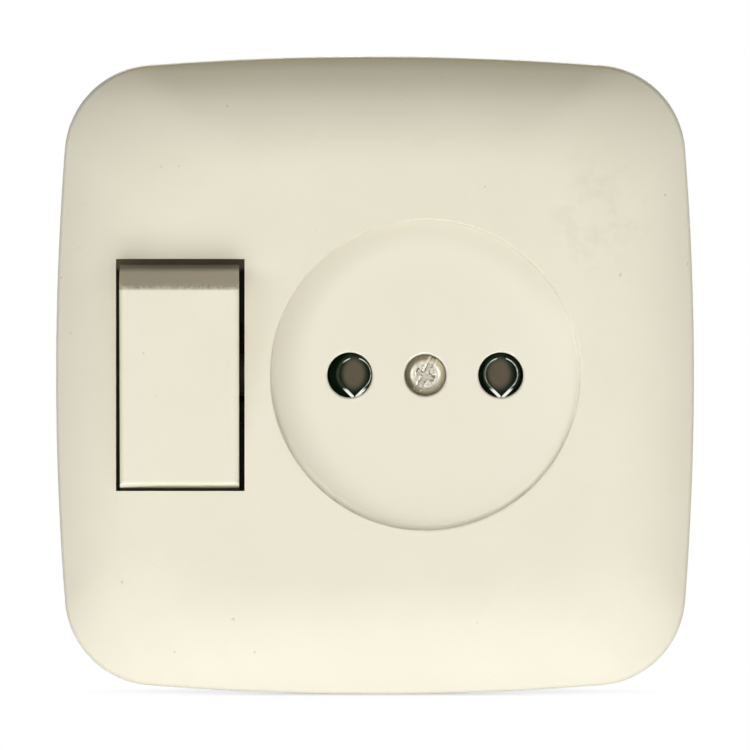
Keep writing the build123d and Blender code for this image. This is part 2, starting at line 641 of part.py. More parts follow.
LIVE_Z = LEG_END
with BuildPart() as terminal_live:
    with BuildSketch(Plane.XZ.offset(-3.0)):
        with Locations((LIVE_X, LIVE_Z - 3.25)):
            Rectangle(TERMINAL_W, 6.5)
        with Locations((LIVE_X, LIVE_Z - 3.4)):
            Circle(WIRE_R, mode=Mode.SUBTRACT)
    extrude(amount=-(STRIP_Y - 3.0))
    with BuildSketch(Plane.XY.offset(LIVE_Z - 3.4)):
        with Locations((LIVE_X, CLAMP_Y)):
            Circle(1.25)
    extrude(amount=-6.0, mode=Mode.SUBTRACT)
terminal_live.part.label = "terminal_live"
export_step(terminal_live.part, "parts/terminal_live.step")

with BuildPart() as terminal_neutral:
    with BuildSketch(Plane.XZ.offset(-3.0)):
        with Locations((RIGHT_LEAF_X, NEUTRAL_Z - 3.25)):
            Rectangle(TERMINAL_W, 6.5)
        with Locations((RIGHT_LEAF_X, NEUTRAL_Z - 3.5)):
            Circle(WIRE_R, mode=Mode.SUBTRACT)
    extrude(amount=-10.0)
    with BuildSketch(Plane.XY.offset(NEUTRAL_Z - 3.5)):
        with Locations((RIGHT_LEAF_X, CLAMP_Y)):
            Circle(1.25)
    extrude(amount=-6.0, mode=Mode.SUBTRACT)
terminal_neutral.part.label = "terminal_neutral"
export_step(terminal_neutral.part, "parts/terminal_neutral.step")

# Clamp screws of the four terminals, slotted heads towards the rim.
with BuildPart() as terminal_screws:
    for x, tip, way in (
        (FIXED_X, FIXED_Z + 4.9, 1),
        (FIXED_X, -FIXED_Z - 4.9, -1),
        (LIVE_X, LIVE_Z - 5.0, -1),
        (RIGHT_LEAF_X, NEUTRAL_Z - 5.1, -1),
    ):
        with BuildSketch(Plane.XY.offset(tip)):
            with Locations((x, CLAMP_Y)):
                Circle(1.2)
        extrude(amount=way * 2.2)
        with BuildSketch(Plane.XY.offset(tip + way * 2.2)):
            with Locations((x, CLAMP_Y)):
                Circle(2.2)
        extrude(amount=way * 1.5)
        with BuildSketch(Plane.XY.offset(tip + way * 3.0)):
            with Locations((x, CLAMP_Y)):
                Rectangle(5.0, 0.7, rotation=25)
        extrude(amount=way * 1.5, mode=Mode.SUBTRACT)
terminal_screws.part.label = "terminal_screws"
export_step(terminal_screws.part, "parts/terminal_screws.step")

# Insert base: moulded block behind the ring with the socket tower in front of it.
TOWER_X = 5.7
TOWER_W = 31.0
TOWER_D = 17.0
CHAMBER_HALF = 3.8
RING_SCREWS = ((-12.0, 13.0), (19.0, 13.0), (7.6, -14.2))
with BuildPart() as insert_base:
    with BuildSketch(Plane.XZ):
        Circle(BASE_D / 2)
    extrude(amount=-BASE_DEPTH)
    chamfer(insert_base.edges().sort_by(Axis.Y)[-1], 1.6)
    with BuildSketch(Plane.XZ):
        with Locations((TOWER_X, 0)):
            RectangleRounded(TOWER_W, TOWER_D, 2.0)
    extrude(amount=TOWER_H)
    with BuildSketch(Plane.XZ.offset(SPIGOT_SEAT)):
        with Locations((SOCKET_X, 0)):
            Circle(4.8)
    extrude(amount=TOWER_H, mode=Mode.SUBTRACT)
    with BuildSketch(Plane.XZ.offset(SPIGOT_SEAT)):
        with Locations((SOCKET_X, 0)):
            Circle(3.05)
    extrude(amount=-9.0, mode=Mode.SUBTRACT)
    # Chambers of the two socket contacts.
    with BuildSketch(Plane.XZ.offset(TOWER_H)):
        with Locations((LEFT_LEAF_X, -0.9), (RIGHT_LEAF_X, -0.9)):
            Rectangle(2 * CHAMBER_HALF, 9.0)
    extrude(amount=-(TOWER_H + LEAF_BACK + 4.0), mode=Mode.SUBTRACT)
    with BuildSketch(Plane.XZ.offset(-2.8)):
        with Locations(((LEFT_LEAF_X + LIVE_X) / 2 - TERMINAL_W / 4, LEG_END + STRIP_T / 2)):
            Rectangle(LEFT_LEAF_X - LIVE_X + TERMINAL_W / 2 + 0.4, STRIP_T + 0.4)
        with Locations((RIGHT_LEAF_X, (LEG_END + NEUTRAL_Z) / 2)):
            Rectangle(2 * LEAF_T + 0.4, LEG_END - NEUTRAL_Z + 1.0)
    extrude(amount=-(LEAF_BACK - 2.8 + 0.2), mode=Mode.SUBTRACT)
    # Cavity of the switch.
    with BuildSketch(Plane.XZ):
        with Locations((CRADLE_X, 0)):
            Rectangle(CRADLE_WIDTH + 1.0, 22.4)
    extrude(amount=-(STRIP_Y + STRIP_T), mode=Mode.SUBTRACT)
    # Channel of the common strip and the passages of the fixed strips.
    with BuildSketch(Plane.XZ.offset(-STRIP_Y + 0.2)):
        with Locations(((CRADLE_X + LIVE_X) / 2, -1.7)):
            Rectangle(LIVE_X - CRADLE_X + TERMINAL_W + 0.4, 3.8)
        with Locations((LIVE_X, -3.0)):
            Rectangle(TERMINAL_W + 0.4, 6.4)
    extrude(amount=-(STRIP_T + 0.2), mode=Mode.SUBTRACT)
    with BuildSketch(Plane.XZ.offset(-FIXED_Y + 0.2)):
        for way in (1, -1):
            with Locations((CRADLE_X, way * (10.0 + FIXED_Z + 1.8) / 2)):
                Rectangle(4.4, FIXED_Z + 1.8 - 10.0)
            with Locations((FIXED_X, way * (FIXED_Z + 0.8))):
                Rectangle(TERMINAL_W + 0.4, 2.0)
    extrude(amount=-(STRIP_T + 0.2), mode=Mode.SUBTRACT)
    # Terminal pockets, open at the rim, and their wire holes from behind.
    for x, inner, way, back in (
        (FIXED_X, FIXED_Z - 0.2, 1, FIXED_Y),
        (FIXED_X, -FIXED_Z + 0.2, -1, FIXED_Y),
        (LIVE_X, LIVE_Z, -1, STRIP_Y),
        (RIGHT_LEAF_X, NEUTRAL_Z + 0.2, -1, 13.0),
    ):
        with BuildSketch(Plane.XZ.offset(-2.8)):
            with Locations((x, inner + way * 12.0)):
                Rectangle(TERMINAL_W + 0.4, 24.0)
        extrude(amount=-(back - 2.8), mode=Mode.SUBTRACT)
    with BuildSketch(Plane.XZ.offset(-BASE_DEPTH)):
        with Locations(
            (FIXED_X, FIXED_Z + 3.3),
            (FIXED_X, -FIXED_Z - 3.3),
            (LIVE_X, LIVE_Z - 3.4),
            (RIGHT_LEAF_X, NEUTRAL_Z - 3.5),
        ):
            Circle(2.0)
    extrude(amount=9.5, mode=Mode.SUBTRACT)
    # Claw pockets and the bearings of the claw knuckles.
    with BuildSketch(Plane.XZ):
        with Locations((0, CLAW_SCREW_Z - CLAW_NUT / 2 - 0.2 + 6.0), (0, -CLAW_SCREW_Z + CLAW_NUT / 2 + 0.2 - 6.0)):
            Rectangle(2 * CLAW_X_HALF + 0.8, 12.0)
    extrude(amount=-BASE_DEPTH, mode=Mode.SUBTRACT)
    with BuildSketch(Plane.YZ.offset(-CLAW_X_HALF - 1.4)):
        for way in (1, -1):
            with Locations((CLAW_HINGE_DEPTH, way * CLAW_HINGE_Z)):
                Circle(1.35)
            with Locations((CLAW_HINGE_DEPTH / 2, way * CLAW_HINGE_Z)):
                Rectangle(CLAW_HINGE_DEPTH, 2.7)
    extrude(amount=2 * CLAW_X_HALF + 2.8, mode=Mode.SUBTRACT)
    # Pilot holes of the ring screws.
    with BuildSketch(Plane.XZ):
        with Locations(*RING_SCREWS):
            Circle(1.25)
    extrude(amount=-8.0, mode=Mode.SUBTRACT)
insert_base.part.label = "insert_base"
export_step(insert_base.part, "parts/insert_base.step")

# Support ring: stamped steel plate that lies on the wall.
with BuildPart() as support_ring:
    with BuildSketch(Plane.XZ):
        RectangleRounded(RING_SIZE, RING_SIZE, 14.0)
        with Locations((TOWER_X, 0)):
            RectangleRounded(TOWER_W + 0.6, TOWER_D + 0.6, 2.3, mode=Mode.SUBTRACT)
        with Locations((CRADLE_X, 0)):
            RectangleRounded(CRADLE_WIDTH + 1.0, 12.5, 1.0, mode=Mode.SUBTRACT)
        with Locations((RING_SLOT_PITCH / 2, 0), (-RING_SLOT_PITCH / 2, 0)):
            SlotOverall(RING_SLOT_L, RING_SLOT_W, mode=Mode.SUBTRACT)
        with Locations((0, CLAW_SCREW_Z), (0, -CLAW_SCREW_Z)):
            Circle(2.0, mode=Mode.SUBTRACT)
        with Locations(*RING_SCREWS):
            Circle(1.4, mode=Mode.SUBTRACT)
        for start in (78.0, 258.0):
            SlotArc(CenterArc((0, 0), 30.0, start, 24.0), 3.6, mode=Mode.SUBTRACT)
    extrude(amount=RING_T)
    # Two lugs bent up beside the switch opening carry the pivot pin of the rocker.
    for lug in (CRADLE_X - CRADLE_WIDTH / 2 - 0.5 - RING_T, CRADLE_X + CRADLE_WIDTH / 2 + 0.5):
        with BuildSketch(Plane.YZ.offset(lug)):
            with Locations((PIVOT_Y / 2, 0)):
                Rectangle(PIVOT_HEIGHT, 5.2)
            with Locations((PIVOT_Y, 0)):
                Circle(2.6)
            with Locations((PIVOT_Y, 0)):
                Circle(PIVOT_PIN_D / 2 + 0.05, mode=Mode.SUBTRACT)
        extrude(amount=RING_T)
support_ring.part.label = "support_ring"
export_step(support_ring.part, "parts/support_ring.step")

# Screws that hold the ring to the base.
with BuildPart() as ring_screws:
    with BuildSketch(Plane.XZ.offset(RING_T)):
        with Locations(*RING_SCREWS):
            Circle(1.2)
    extrude(amount=-(RING_T + 7.0))
    with BuildSketch(Plane.XZ.offset(RING_T)):
        with Locations(*RING_SCREWS):
            Circle(2.2)
    extrude(amount=1.3)
    with BuildSketch(Plane.XZ.offset(RING_T + 0.6)):
        with Locations(*RING_SCREWS):
            Rectangle(5.0, 0.7, rotation=35)
    extrude(amount=1.3, mode=Mode.SUBTRACT)
ring_screws.part.label = "ring_screws"
export_step(ring_screws.part, "parts/ring_screws.step")

# Threaded bush that takes the cover screw.
with BuildPart() as cover_screw_bush:
    with BuildSketch(Plane.XZ.offset(SPIGOT_SEAT)):
        with Locations((SOCKET_X, 0)):
            Circle(3.0)
            Circle(SCREW_SHANK_D / 2 + 0.05, mode=Mode.SUBTRACT)
    extrude(amount=-9.0)
cover_screw_bush.part.label = "cover_screw_bush"
export_step(cover_screw_bush.part, "parts/cover_screw_bush.step")

# Cover screw: raised head with a slot and a cross.
with BuildPart() as cover_screw:
    with BuildSketch(Plane.XZ.offset(HEAD_SEAT)):
        with Locations((SOCKET_X, 0)):
            Circle(SCREW_HEAD_D / 2)
    extrude(amount=SCREW_HEAD_H)
    fillet(cover_screw.edges().sort_by(Axis.Y)[0], 0.45)
    with BuildSketch(Plane.XZ.offset(HEAD_SEAT)):
        with Locations((SOCKET_X, 0)):
            Circle(SCREW_SHANK_D / 2)
    extrude(amount=-(HEAD_SEAT + 3.0))
    with BuildSketch(Plane.XZ.offset(HEAD_TOP)):
        with Locations((SOCKET_X, 0)):
            Rectangle(SCREW_HEAD_D + 1, 0.85, rotation=64)
            Rectangle(2.7, 0.85, rotation=-26)
    extrude(amount=-0.9, mode=Mode.SUBTRACT)
cover_screw.part.label = "cover_screw"
export_step(cover_screw.part, "parts/cover_screw.step")

# Spreading claws: hinged leaves with two prongs, pushed out by their nuts.
REST = math.radians(CLAW_REST)
upper_claw_plane = Plane(
    origin=(-CLAW_X_HALF, CLAW_HINGE_DEPTH, CLAW_HINGE_Z),
    x_dir=(0, math.cos(REST), math.sin(REST)),
    z_dir=(1, 0, 0),
)
lower_claw_plane = Plane(
    origin=(CLAW_X_HALF, CLAW_HINGE_DEPTH, -CLAW_HINGE_Z),
    x_dir=(0, math.cos(REST), -math.sin(REST)),
    z_dir=(-1, 0, 0),
)
with BuildPart() as claw_upper:
    with BuildSketch(upper_claw_plane):
        Circle(1.2)
        with BuildLine():
            Polyline(
                (0, -CLAW_T / 2),
                (15.6, -CLAW_T / 2),
                (17.4, 2.6),
                (16.4, 3.3),
                (14.8, CLAW_T / 2),
                (0, CLAW_T / 2),
                close=True,
            )
        make_face()
    extrude(amount=2 * CLAW_X_HALF)
    with BuildSketch(upper_claw_plane.offset(-1.2)):
        Circle(1.2)
    extrude(amount=2 * CLAW_X_HALF + 2.4)
    with BuildSketch(upper_claw_plane.offset(CLAW_X_HALF - 1.6)):
        with Locations((17.0, 2.4)):
            Rectangle(3.2, 4.0, rotation=60)
    extrude(amount=3.2, mode=Mode.SUBTRACT)
claw_upper.part.label = "claw_upper"
export_step(claw_upper.part, "parts/claw_upper.step")

with BuildPart() as claw_lower:
    with BuildSketch(lower_claw_plane):
        Circle(1.2)
        with BuildLine():
            Polyline(
                (0, -CLAW_T / 2),
                (15.6, -CLAW_T / 2),
                (17.4, 2.6),
                (16.4, 3.3),
                (14.8, CLAW_T / 2),
                (0, CLAW_T / 2),
                close=True,
            )
        make_face()
    extrude(amount=2 * CLAW_X_HALF)
    with BuildSketch(lower_claw_plane.offset(-1.2)):
        Circle(1.2)
    extrude(amount=2 * CLAW_X_HALF + 2.4)
    with BuildSketch(lower_claw_plane.offset(CLAW_X_HALF - 1.6)):
        with Locations((17.0, 2.4)):
            Rectangle(3.2, 4.0, rotation=60)
    extrude(amount=3.2, mode=Mode.SUBTRACT)
claw_lower.part.label = "claw_lower"
export_step(claw_lower.part, "parts/claw_lower.step")

# Claw screws, turned from the front of the ring.
with BuildPart() as claw_screws:
    with BuildSketch(Plane.XZ.offset(RING_T)):
        with Locations((0, CLAW_SCREW_Z), (0, -CLAW_SCREW_Z)):
            Circle(1.7)
    extrude(amount=-(RING_T + 18.0))
    with BuildSketch(Plane.XZ.offset(RING_T)):
        with Locations((0, CLAW_SCREW_Z), (0, -CLAW_SCREW_Z)):
            Circle(3.1)
    extrude(amount=2.0)
    with BuildSketch(Plane.XZ.offset(RING_T + 1.0)):
        with Locations((0, CLAW_SCREW_Z), (0, -CLAW_SCREW_Z)):
            Rectangle(7.0, 0.9, rotation=15)
    extrude(amount=2.0, mode=Mode.SUBTRACT)
claw_screws.part.label = "claw_screws"
export_step(claw_screws.part, "parts/claw_screws.step")

# Square nuts that travel on the claw screws and wedge the claws outwards.
NUT_Y = 13.0
with BuildPart() as claw_nut_upper:
    with BuildSketch(Plane.XZ.offset(-NUT_Y)):
        with Locations((0, CLAW_SCREW_Z)):
            Rectangle(CLAW_NUT, CLAW_NUT)
            Circle(1.75, mode=Mode.SUBTRACT)
    extrude(amount=-3.0)
claw_nut_upper.part.label = "claw_nut_upper"
export_step(claw_nut_upper.part, "parts/claw_nut_upper.step")

with BuildPart() as claw_nut_lower:
    with BuildSketch(Plane.XZ.offset(-NUT_Y)):
        with Locations((0, -CLAW_SCREW_Z)):
            Rectangle(CLAW_NUT, CLAW_NUT)
            Circle(1.75, mode=Mode.SUBTRACT)
    extrude(amount=-3.0)
claw_nut_lower.part.label = "claw_nut_lower"
export_step(claw_nut_lower.part, "parts/claw_nut_lower.step")
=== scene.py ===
import math

import bmesh
import bpy
import mathutils
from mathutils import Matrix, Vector


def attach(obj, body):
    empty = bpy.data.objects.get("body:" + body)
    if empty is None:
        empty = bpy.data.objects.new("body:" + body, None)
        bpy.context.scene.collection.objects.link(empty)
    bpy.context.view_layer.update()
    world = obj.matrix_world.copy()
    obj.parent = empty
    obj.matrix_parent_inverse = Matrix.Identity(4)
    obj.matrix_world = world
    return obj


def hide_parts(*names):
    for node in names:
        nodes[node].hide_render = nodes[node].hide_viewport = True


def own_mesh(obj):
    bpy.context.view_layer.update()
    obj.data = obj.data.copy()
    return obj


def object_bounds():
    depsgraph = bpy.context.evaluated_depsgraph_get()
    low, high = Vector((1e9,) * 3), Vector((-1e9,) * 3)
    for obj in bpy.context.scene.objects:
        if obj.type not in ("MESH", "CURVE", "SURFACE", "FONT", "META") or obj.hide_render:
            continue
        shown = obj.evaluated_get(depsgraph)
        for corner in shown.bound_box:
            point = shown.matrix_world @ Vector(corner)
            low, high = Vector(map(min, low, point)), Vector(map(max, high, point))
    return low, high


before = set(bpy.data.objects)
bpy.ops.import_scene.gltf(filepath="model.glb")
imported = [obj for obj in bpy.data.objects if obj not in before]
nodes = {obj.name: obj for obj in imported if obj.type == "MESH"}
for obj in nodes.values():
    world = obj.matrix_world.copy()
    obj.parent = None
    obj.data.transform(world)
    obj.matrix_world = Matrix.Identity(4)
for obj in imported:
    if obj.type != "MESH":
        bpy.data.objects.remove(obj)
cad_low, cad_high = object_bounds()


# Insert base: the brown moulded block that sinks into the wall box and carries every live piece.
# Pressed hot from phenolic resin in a two-part mould, so it is dark, slightly marbled and dull.
# The two chambers behind the pin holes carry green painted shade, and each floor a painted pool of light.
class Value:
    """One output in a node tree: sums and products of values add Math nodes."""

    def __init__(self, tree, socket):
        self.tree = tree
        self.socket = socket

    def node(self, kind, settings, inputs, out=0):
        """Adds a node to the same tree and hands back one of its outputs."""
        made = self.tree.nodes.new(kind)
        for name, setting in settings.items():
            setattr(made, name, setting)
        for name, given in inputs.items():
            if isinstance(given, Value):
                self.tree.links.new(given.socket, made.inputs[name])
            else:
                made.inputs[name].default_value = given
        return Value(self.tree, made.outputs[out])

    def sum_of(self, operation, first, second):
        return self.node("ShaderNodeMath", {"operation": operation}, {0: first, 1: second})

    def __add__(self, other):
        return self.sum_of("ADD", self, other)

    __radd__ = __add__

    def __sub__(self, other):
        return self.sum_of("SUBTRACT", self, other)

    def __rsub__(self, other):
        return self.sum_of("SUBTRACT", other, self)

    def __mul__(self, other):
        return self.sum_of("MULTIPLY", self, other)

    __rmul__ = __mul__

    def __truediv__(self, other):
        return self.sum_of("DIVIDE", self, other)

    def __rtruediv__(self, other):
        return self.sum_of("DIVIDE", other, self)

    def __pow__(self, other):
        return self.sum_of("POWER", self, other)

    def into(self, shader, name):
        self.tree.links.new(self.socket, shader.inputs[name])


def begin_finish(name, metallic=0.0, specular=0.5):
    """A new material, its shader, and where each point of the surface lies on the object."""
    made = bpy.data.materials.new(name)
    made.use_nodes = True
    tree = made.node_tree
    shader = tree.nodes["Principled BSDF"]
    shader.inputs["Metallic"].default_value = metallic
    shader.inputs["Specular IOR Level"].default_value = specular
    place = Value(tree, tree.nodes.new("ShaderNodeTexCoord").outputs["Object"])
    return made, shader, place


def close_finish(shader, colour, roughness, normal):
    colour.into(shader, "Base Color")
    roughness.into(shader, "Roughness")
    normal.into(shader, "Normal")


def noise(place, scale, detail=2.0, roughness=0.5):
    grain = {"Vector": place, "Scale": scale, "Detail": detail, "Roughness": roughness}
    return place.node("ShaderNodeTexNoise", {}, grain)


def between(mask, low, high):
    """A mask that climbs smoothly from 0 at low to 1 at high."""
    span = {"Value": mask, "From Min": low, "From Max": high}
    return mask.node("ShaderNodeMapRange", {"interpolation_type": "SMOOTHSTEP"}, span)


def blended(mask, first, second):
    """One colour turning into another with the mask; a Mix node's colours are 6 and 7, and 2 going out."""
    return mask.node("ShaderNodeMix", {"data_type": "RGBA"}, {"Factor": mask, 6: first, 7: second}, 2)


def raised(height, strength, distance):
    return height.node("ShaderNodeBump", {}, {"Height": height, "Strength": strength, "Distance": distance})


def apart(place, spot):
    """Where the surface is, measured from a spot on the object."""
    return place.node("ShaderNodeVectorMath", {"operation": "SUBTRACT"}, {0: place, 1: spot})


def shares(vector):
    parts = vector.node("ShaderNodeSeparateXYZ", {}, {0: vector})
    outs = parts.socket.node.outputs
    return [Value(parts.tree, outs[k]) for k in range(3)]


def unsigned(value):
    return (value * value) ** 0.5


def dress(finish, *names):
    """Gives CAD pieces their finish."""
    for name in names:
        nodes[name].data.materials.clear()
        nodes[name].data.materials.append(finish)


phenolic, shader, place = begin_finish("brown_phenolic")
resin_dark = (0.045, 0.028, 0.017, 1)
resin_light = (0.085, 0.055, 0.033, 1)
flow_dark = (0.030, 0.019, 0.012, 1)
filler_light = (0.13, 0.095, 0.06, 1)
marbling = between(noise(place, 90.0, 5.0, 0.6), 0.35, 0.7)
grain = noise(place, 2600.0, 2.0)
flow = noise(place, 38.0, 4.0, 0.6)
brown = blended(marbling, resin_dark, resin_light)
brown = blended(0.5 * between(flow, 0.5, 0.7), brown, flow_dark)
brown = blended(between(grain, 0.55, 0.75), brown, filler_light)
chamber_shade_green = (0.008, 0.055, 0.018, 1)
floor_light_green = (0.26, 0.36, 0.22, 1)
floor_light_cream = (0.90, 0.78, 0.55, 1)
chamber_floor_y = 0.0100
chamber_z = 0.0002
chamber_wall = (0.0039, 0.0043)
floor_rise = (-0.0006, -0.0002)
floor_back = (0.0004, 0.0008)
floor_spot_half = (0.00150, 0.00205)
# Painted shade in each chamber, green and darker towards the walls, and a painted pool of light on its floor
# under the pin hole, greener at its edge and pale in its middle
for chamber_x in (-0.0027, 0.0158):
    across, deep, up = shares(apart(place, (chamber_x, chamber_floor_y, chamber_z)))
    to_floor = 1.0 - between(deep, *floor_back)
    on_floor = between(deep, *floor_rise) * to_floor
    chamber_shade = 1.0 - between(unsigned(across), *chamber_wall)
    chamber_shade = chamber_shade * (1.0 - between(unsigned(up), *chamber_wall))
    floor_spot_reach = (across / floor_spot_half[0]) ** 2.0 + (up / floor_spot_half[1]) ** 2.0
    floor_light_ring = chamber_shade * on_floor * (1.0 - between(floor_spot_reach, 0.9, 2.2))
    floor_light_spot = on_floor * (1.0 - between(floor_spot_reach, 0.35, 1.3))
    brown = blended(0.85 * chamber_shade * to_floor, brown, chamber_shade_green)
    brown = blended(0.7 * floor_light_ring, brown, floor_light_green)
    brown = blended(0.95 * floor_light_spot, brown, floor_light_cream)
sheen = 0.42 + 0.2 * noise(place, 300.0, 3.0)
pressed_skin = raised(grain + 0.6 * noise(place, 420.0, 3.0), 0.25, 0.0001)
close_finish(shader, brown, sheen, pressed_skin)
dress(phenolic, "insert_base")


# Terminals, fixed contacts and the bush of the cover screw: brass, sawn from bar, stamped or turned.
# They drop into pockets of the base, and flux and fingers have browned them unevenly.
brass, shader, place = begin_finish("aged_brass", metallic=1.0)
clean_brass = (0.72, 0.53, 0.22, 1)
browned_brass = (0.42, 0.27, 0.10, 1)
tarnish = between(noise(place, 160.0, 5.0, 0.65), 0.38, 0.72)
scratch = noise(place, 1800.0, 2.0)
sheen = 0.26 + 0.22 * tarnish + 0.08 * scratch
close_finish(shader, blended(tarnish, clean_brass, browned_brass), sheen, raised(scratch, 0.12, 0.00005))
dress(brass, "upper_fixed_contact", "lower_fixed_contact", "cover_screw_bush")
dress(brass, "terminal_upper", "terminal_lower", "terminal_live", "terminal_neutral")


# Terminal screws: short slotted steel screws that clamp a wire in each of the four terminals.
# Turned with a low domed head, a sawn slot and a rolled thread, then left bright under a film of oil.
steel, shader, place = begin_finish("drawn_steel", metallic=1.0)
oiled_steel = (0.42, 0.42, 0.41, 1)
bright_steel = (0.58, 0.58, 0.56, 1)
draw_marks = {"Vector": place, "Scale": 900.0, "Distortion": 2.0}
lines = place.node("ShaderNodeTexWave", {"bands_direction": "X"}, draw_marks)
film = noise(place, 500.0, 3.0)
sheen = 0.26 + 0.12 * film + 0.06 * lines
close_finish(shader, blended(film, oiled_steel, bright_steel), sheen, raised(lines, 0.1, 0.00004))
millimetre = 0.001
to_metres = (millimetre, millimetre, millimetre)


def share_of(value, low, high):
    """How far a value has gone from low to high, held between 0 and 1."""
    return value.node("ShaderNodeMapRange", {}, {"Value": value, "From Min": low, "From Max": high})


def open_tree(name, inputs, result):
    """A Geometry Nodes tree with its named inputs, each ready as a value."""
    tree = bpy.data.node_groups.new(name, "GeometryNodeTree")
    for input_name, kind in inputs.items():
        tree.interface.new_socket(name=input_name, in_out="INPUT", socket_type="NodeSocket" + kind)
    tree.interface.new_socket(name=result, in_out="OUTPUT", socket_type="NodeSocketGeometry")
    given = tree.nodes.new("NodeGroupInput")
    size = {out.name: Value(tree, out) for out in given.outputs if out.name}
    return tree, size


def close_tree(tree, grown, finish, result):
    """Ends a tree with plain faces in their finish."""
    grown = grown.node("GeometryNodeRealizeInstances", {}, {"Geometry": grown})
    grown = grown.node("GeometryNodeSetMaterial", {}, {"Geometry": grown, "Material": finish})
    grown.into(tree.nodes.new("NodeGroupOutput"), result)


def put_in_scene(name, data):
    made = bpy.data.objects.new(name, data)
    bpy.context.scene.collection.objects.link(made)
    return made


def grow_piece(name, marks, tree, sizes, sharp_angle):
    """A piece of plain faces that a tree grows from a mesh of marks, with these sizes."""
    maker = put_in_scene(name + "_maker", marks)
    grower = maker.modifiers.new(tree.name, "NODES")
    grower.node_group = tree
    for item in tree.interface.items_tree:
        if item.name in sizes:
            grower[item.identifier] = sizes[item.name]
    bpy.context.view_layer.update()
    evaluated = maker.evaluated_get(bpy.context.evaluated_depsgraph_get())
    made = bpy.data.meshes.new_from_object(evaluated)
    maker.modifiers.remove(grower)
    bpy.data.objects.remove(maker)
    made.set_sharp_from_angle(angle=math.radians(sharp_angle))
    return put_in_scene(name, made)


def slotted_screw_tree():
    """Puts a threaded screw with a slotted dome head on each seat; the sizes are in millimetres."""
    inputs = {"Seats": "Geometry"}
    for name in ("Head radius", "Head height", "Dome", "Slot width", "Slot depth"):
        inputs[name] = "Float"
    for name in ("Shank radius", "Shank length", "Thread depth", "Pitch"):
        inputs[name] = "Float"
    inputs["Rows"] = "Int"
    inputs["Finish"] = "Material"
    tree, size = open_tree("slotted_screw", inputs, "Screws")
    seats = size["Seats"]

    # Turned blank and thread: a sheet rolled round the axis, with the share of its rows that each part takes
    cap_end = 0.12
    rim_end = 0.2
    under_end = 0.24
    shank_end = 0.96
    round_points = 41
    weld = 0.0005
    sheet = {"Size X": 1.0, "Size Y": 1.0, "Vertices X": round_points, "Vertices Y": size["Rows"]}
    blank = seats.node("GeometryNodeMeshGrid", {}, sheet)
    turn, along = shares(seats.node("GeometryNodeInputPosition", {}, {}))[:2]
    turn = turn + 0.5
    along = along + 0.5
    cap = share_of(along, 0.0, cap_end)
    rim = share_of(along, cap_end, rim_end)
    under = share_of(along, rim_end, under_end)
    shank = share_of(along, under_end, shank_end)
    tip = share_of(along, shank_end, 1.0)
    drop = size["Dome"] * cap * cap + (size["Head height"] - size["Dome"]) * rim
    drop = drop + size["Shank length"] * shank
    crest = 2.0 * drop.sum_of("PINGPONG", drop / size["Pitch"] + turn, 0.5)
    crest = crest * share_of(shank, 0.0, 0.05) * (1.0 - share_of(shank, 0.95, 1.0))
    core = size["Shank radius"] - size["Thread depth"]
    radius = size["Head radius"] * cap - (size["Head radius"] - core) * under - core * tip
    radius = radius + size["Thread depth"] * crest
    angle = -math.tau * turn
    cosine = turn.node("ShaderNodeMath", {"operation": "COSINE"}, {0: angle})
    sine = turn.node("ShaderNodeMath", {"operation": "SINE"}, {0: angle})
    rolled = {"X": radius * cosine, "Y": radius * sine, "Z": -1.0 * drop}
    rolled = turn.node("ShaderNodeCombineXYZ", {}, rolled)
    screw = turn.node("GeometryNodeSetPosition", {}, {"Geometry": blank, "Position": rolled})
    screw = screw.node("GeometryNodeMergeByDistance", {}, {"Geometry": screw, "Distance": weld})
    screw = screw.node("GeometryNodeSetShadeSmooth", {}, {"Geometry": screw})

    # Sawn slot
    saw_size = {"X": 4.0 * size["Head radius"], "Y": size["Slot width"], "Z": 2.0 * size["Slot depth"]}
    saw = turn.node("GeometryNodeMeshCube", {}, {"Size": turn.node("ShaderNodeCombineXYZ", {}, saw_size)})
    cut = {"operation": "DIFFERENCE", "solver": "EXACT"}
    screw = screw.node("GeometryNodeMeshBoolean", cut, {"Mesh 1": screw, "Mesh 2": saw})

    # One screw on each seat
    facing = turn.node("GeometryNodeInputNamedAttribute", {"data_type": "FLOAT_VECTOR"}, {"Name": "facing"})
    slot_turn = turn.node("GeometryNodeInputNamedAttribute", {"data_type": "FLOAT"}, {"Name": "slot_turn"})
    aim = turn.node("FunctionNodeAlignRotationToVector", {"axis": "Z"}, {"Vector": facing})
    set_in = {"Points": seats, "Instance": screw, "Rotation": aim, "Scale": to_metres}
    screws = turn.node("GeometryNodeInstanceOnPoints", {}, set_in)
    twist = turn.node("ShaderNodeCombineXYZ", {}, {"Z": slot_turn})
    screws = turn.node("GeometryNodeRotateInstances", {}, {"Instances": screws, "Rotation": twist})
    close_tree(tree, screws, size["Finish"], "Screws")
    return tree


slotted_screw = slotted_screw_tree()


def drive_screws(name, node, seats, sizes):
    """Screws at their seats, given as head top in mm, facing and slot angle, in place of a CAD node."""
    marks = bpy.data.meshes.new(name + "_seats")
    marks.from_pydata([[millimetre * part for part in top] for top, facing, angle in seats], [], [])
    marks.attributes.new("facing", "FLOAT_VECTOR", "POINT")
    marks.attributes.new("slot_turn", "FLOAT", "POINT")
    for k, (top, facing, angle) in enumerate(seats):
        marks.attributes["facing"].data[k].vector = facing
        marks.attributes["slot_turn"].data[k].value = math.radians(angle)
    piece = grow_piece(name, marks, slotted_screw, sizes, sharp_angle=40)
    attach(piece, "fixed")
    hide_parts(node)


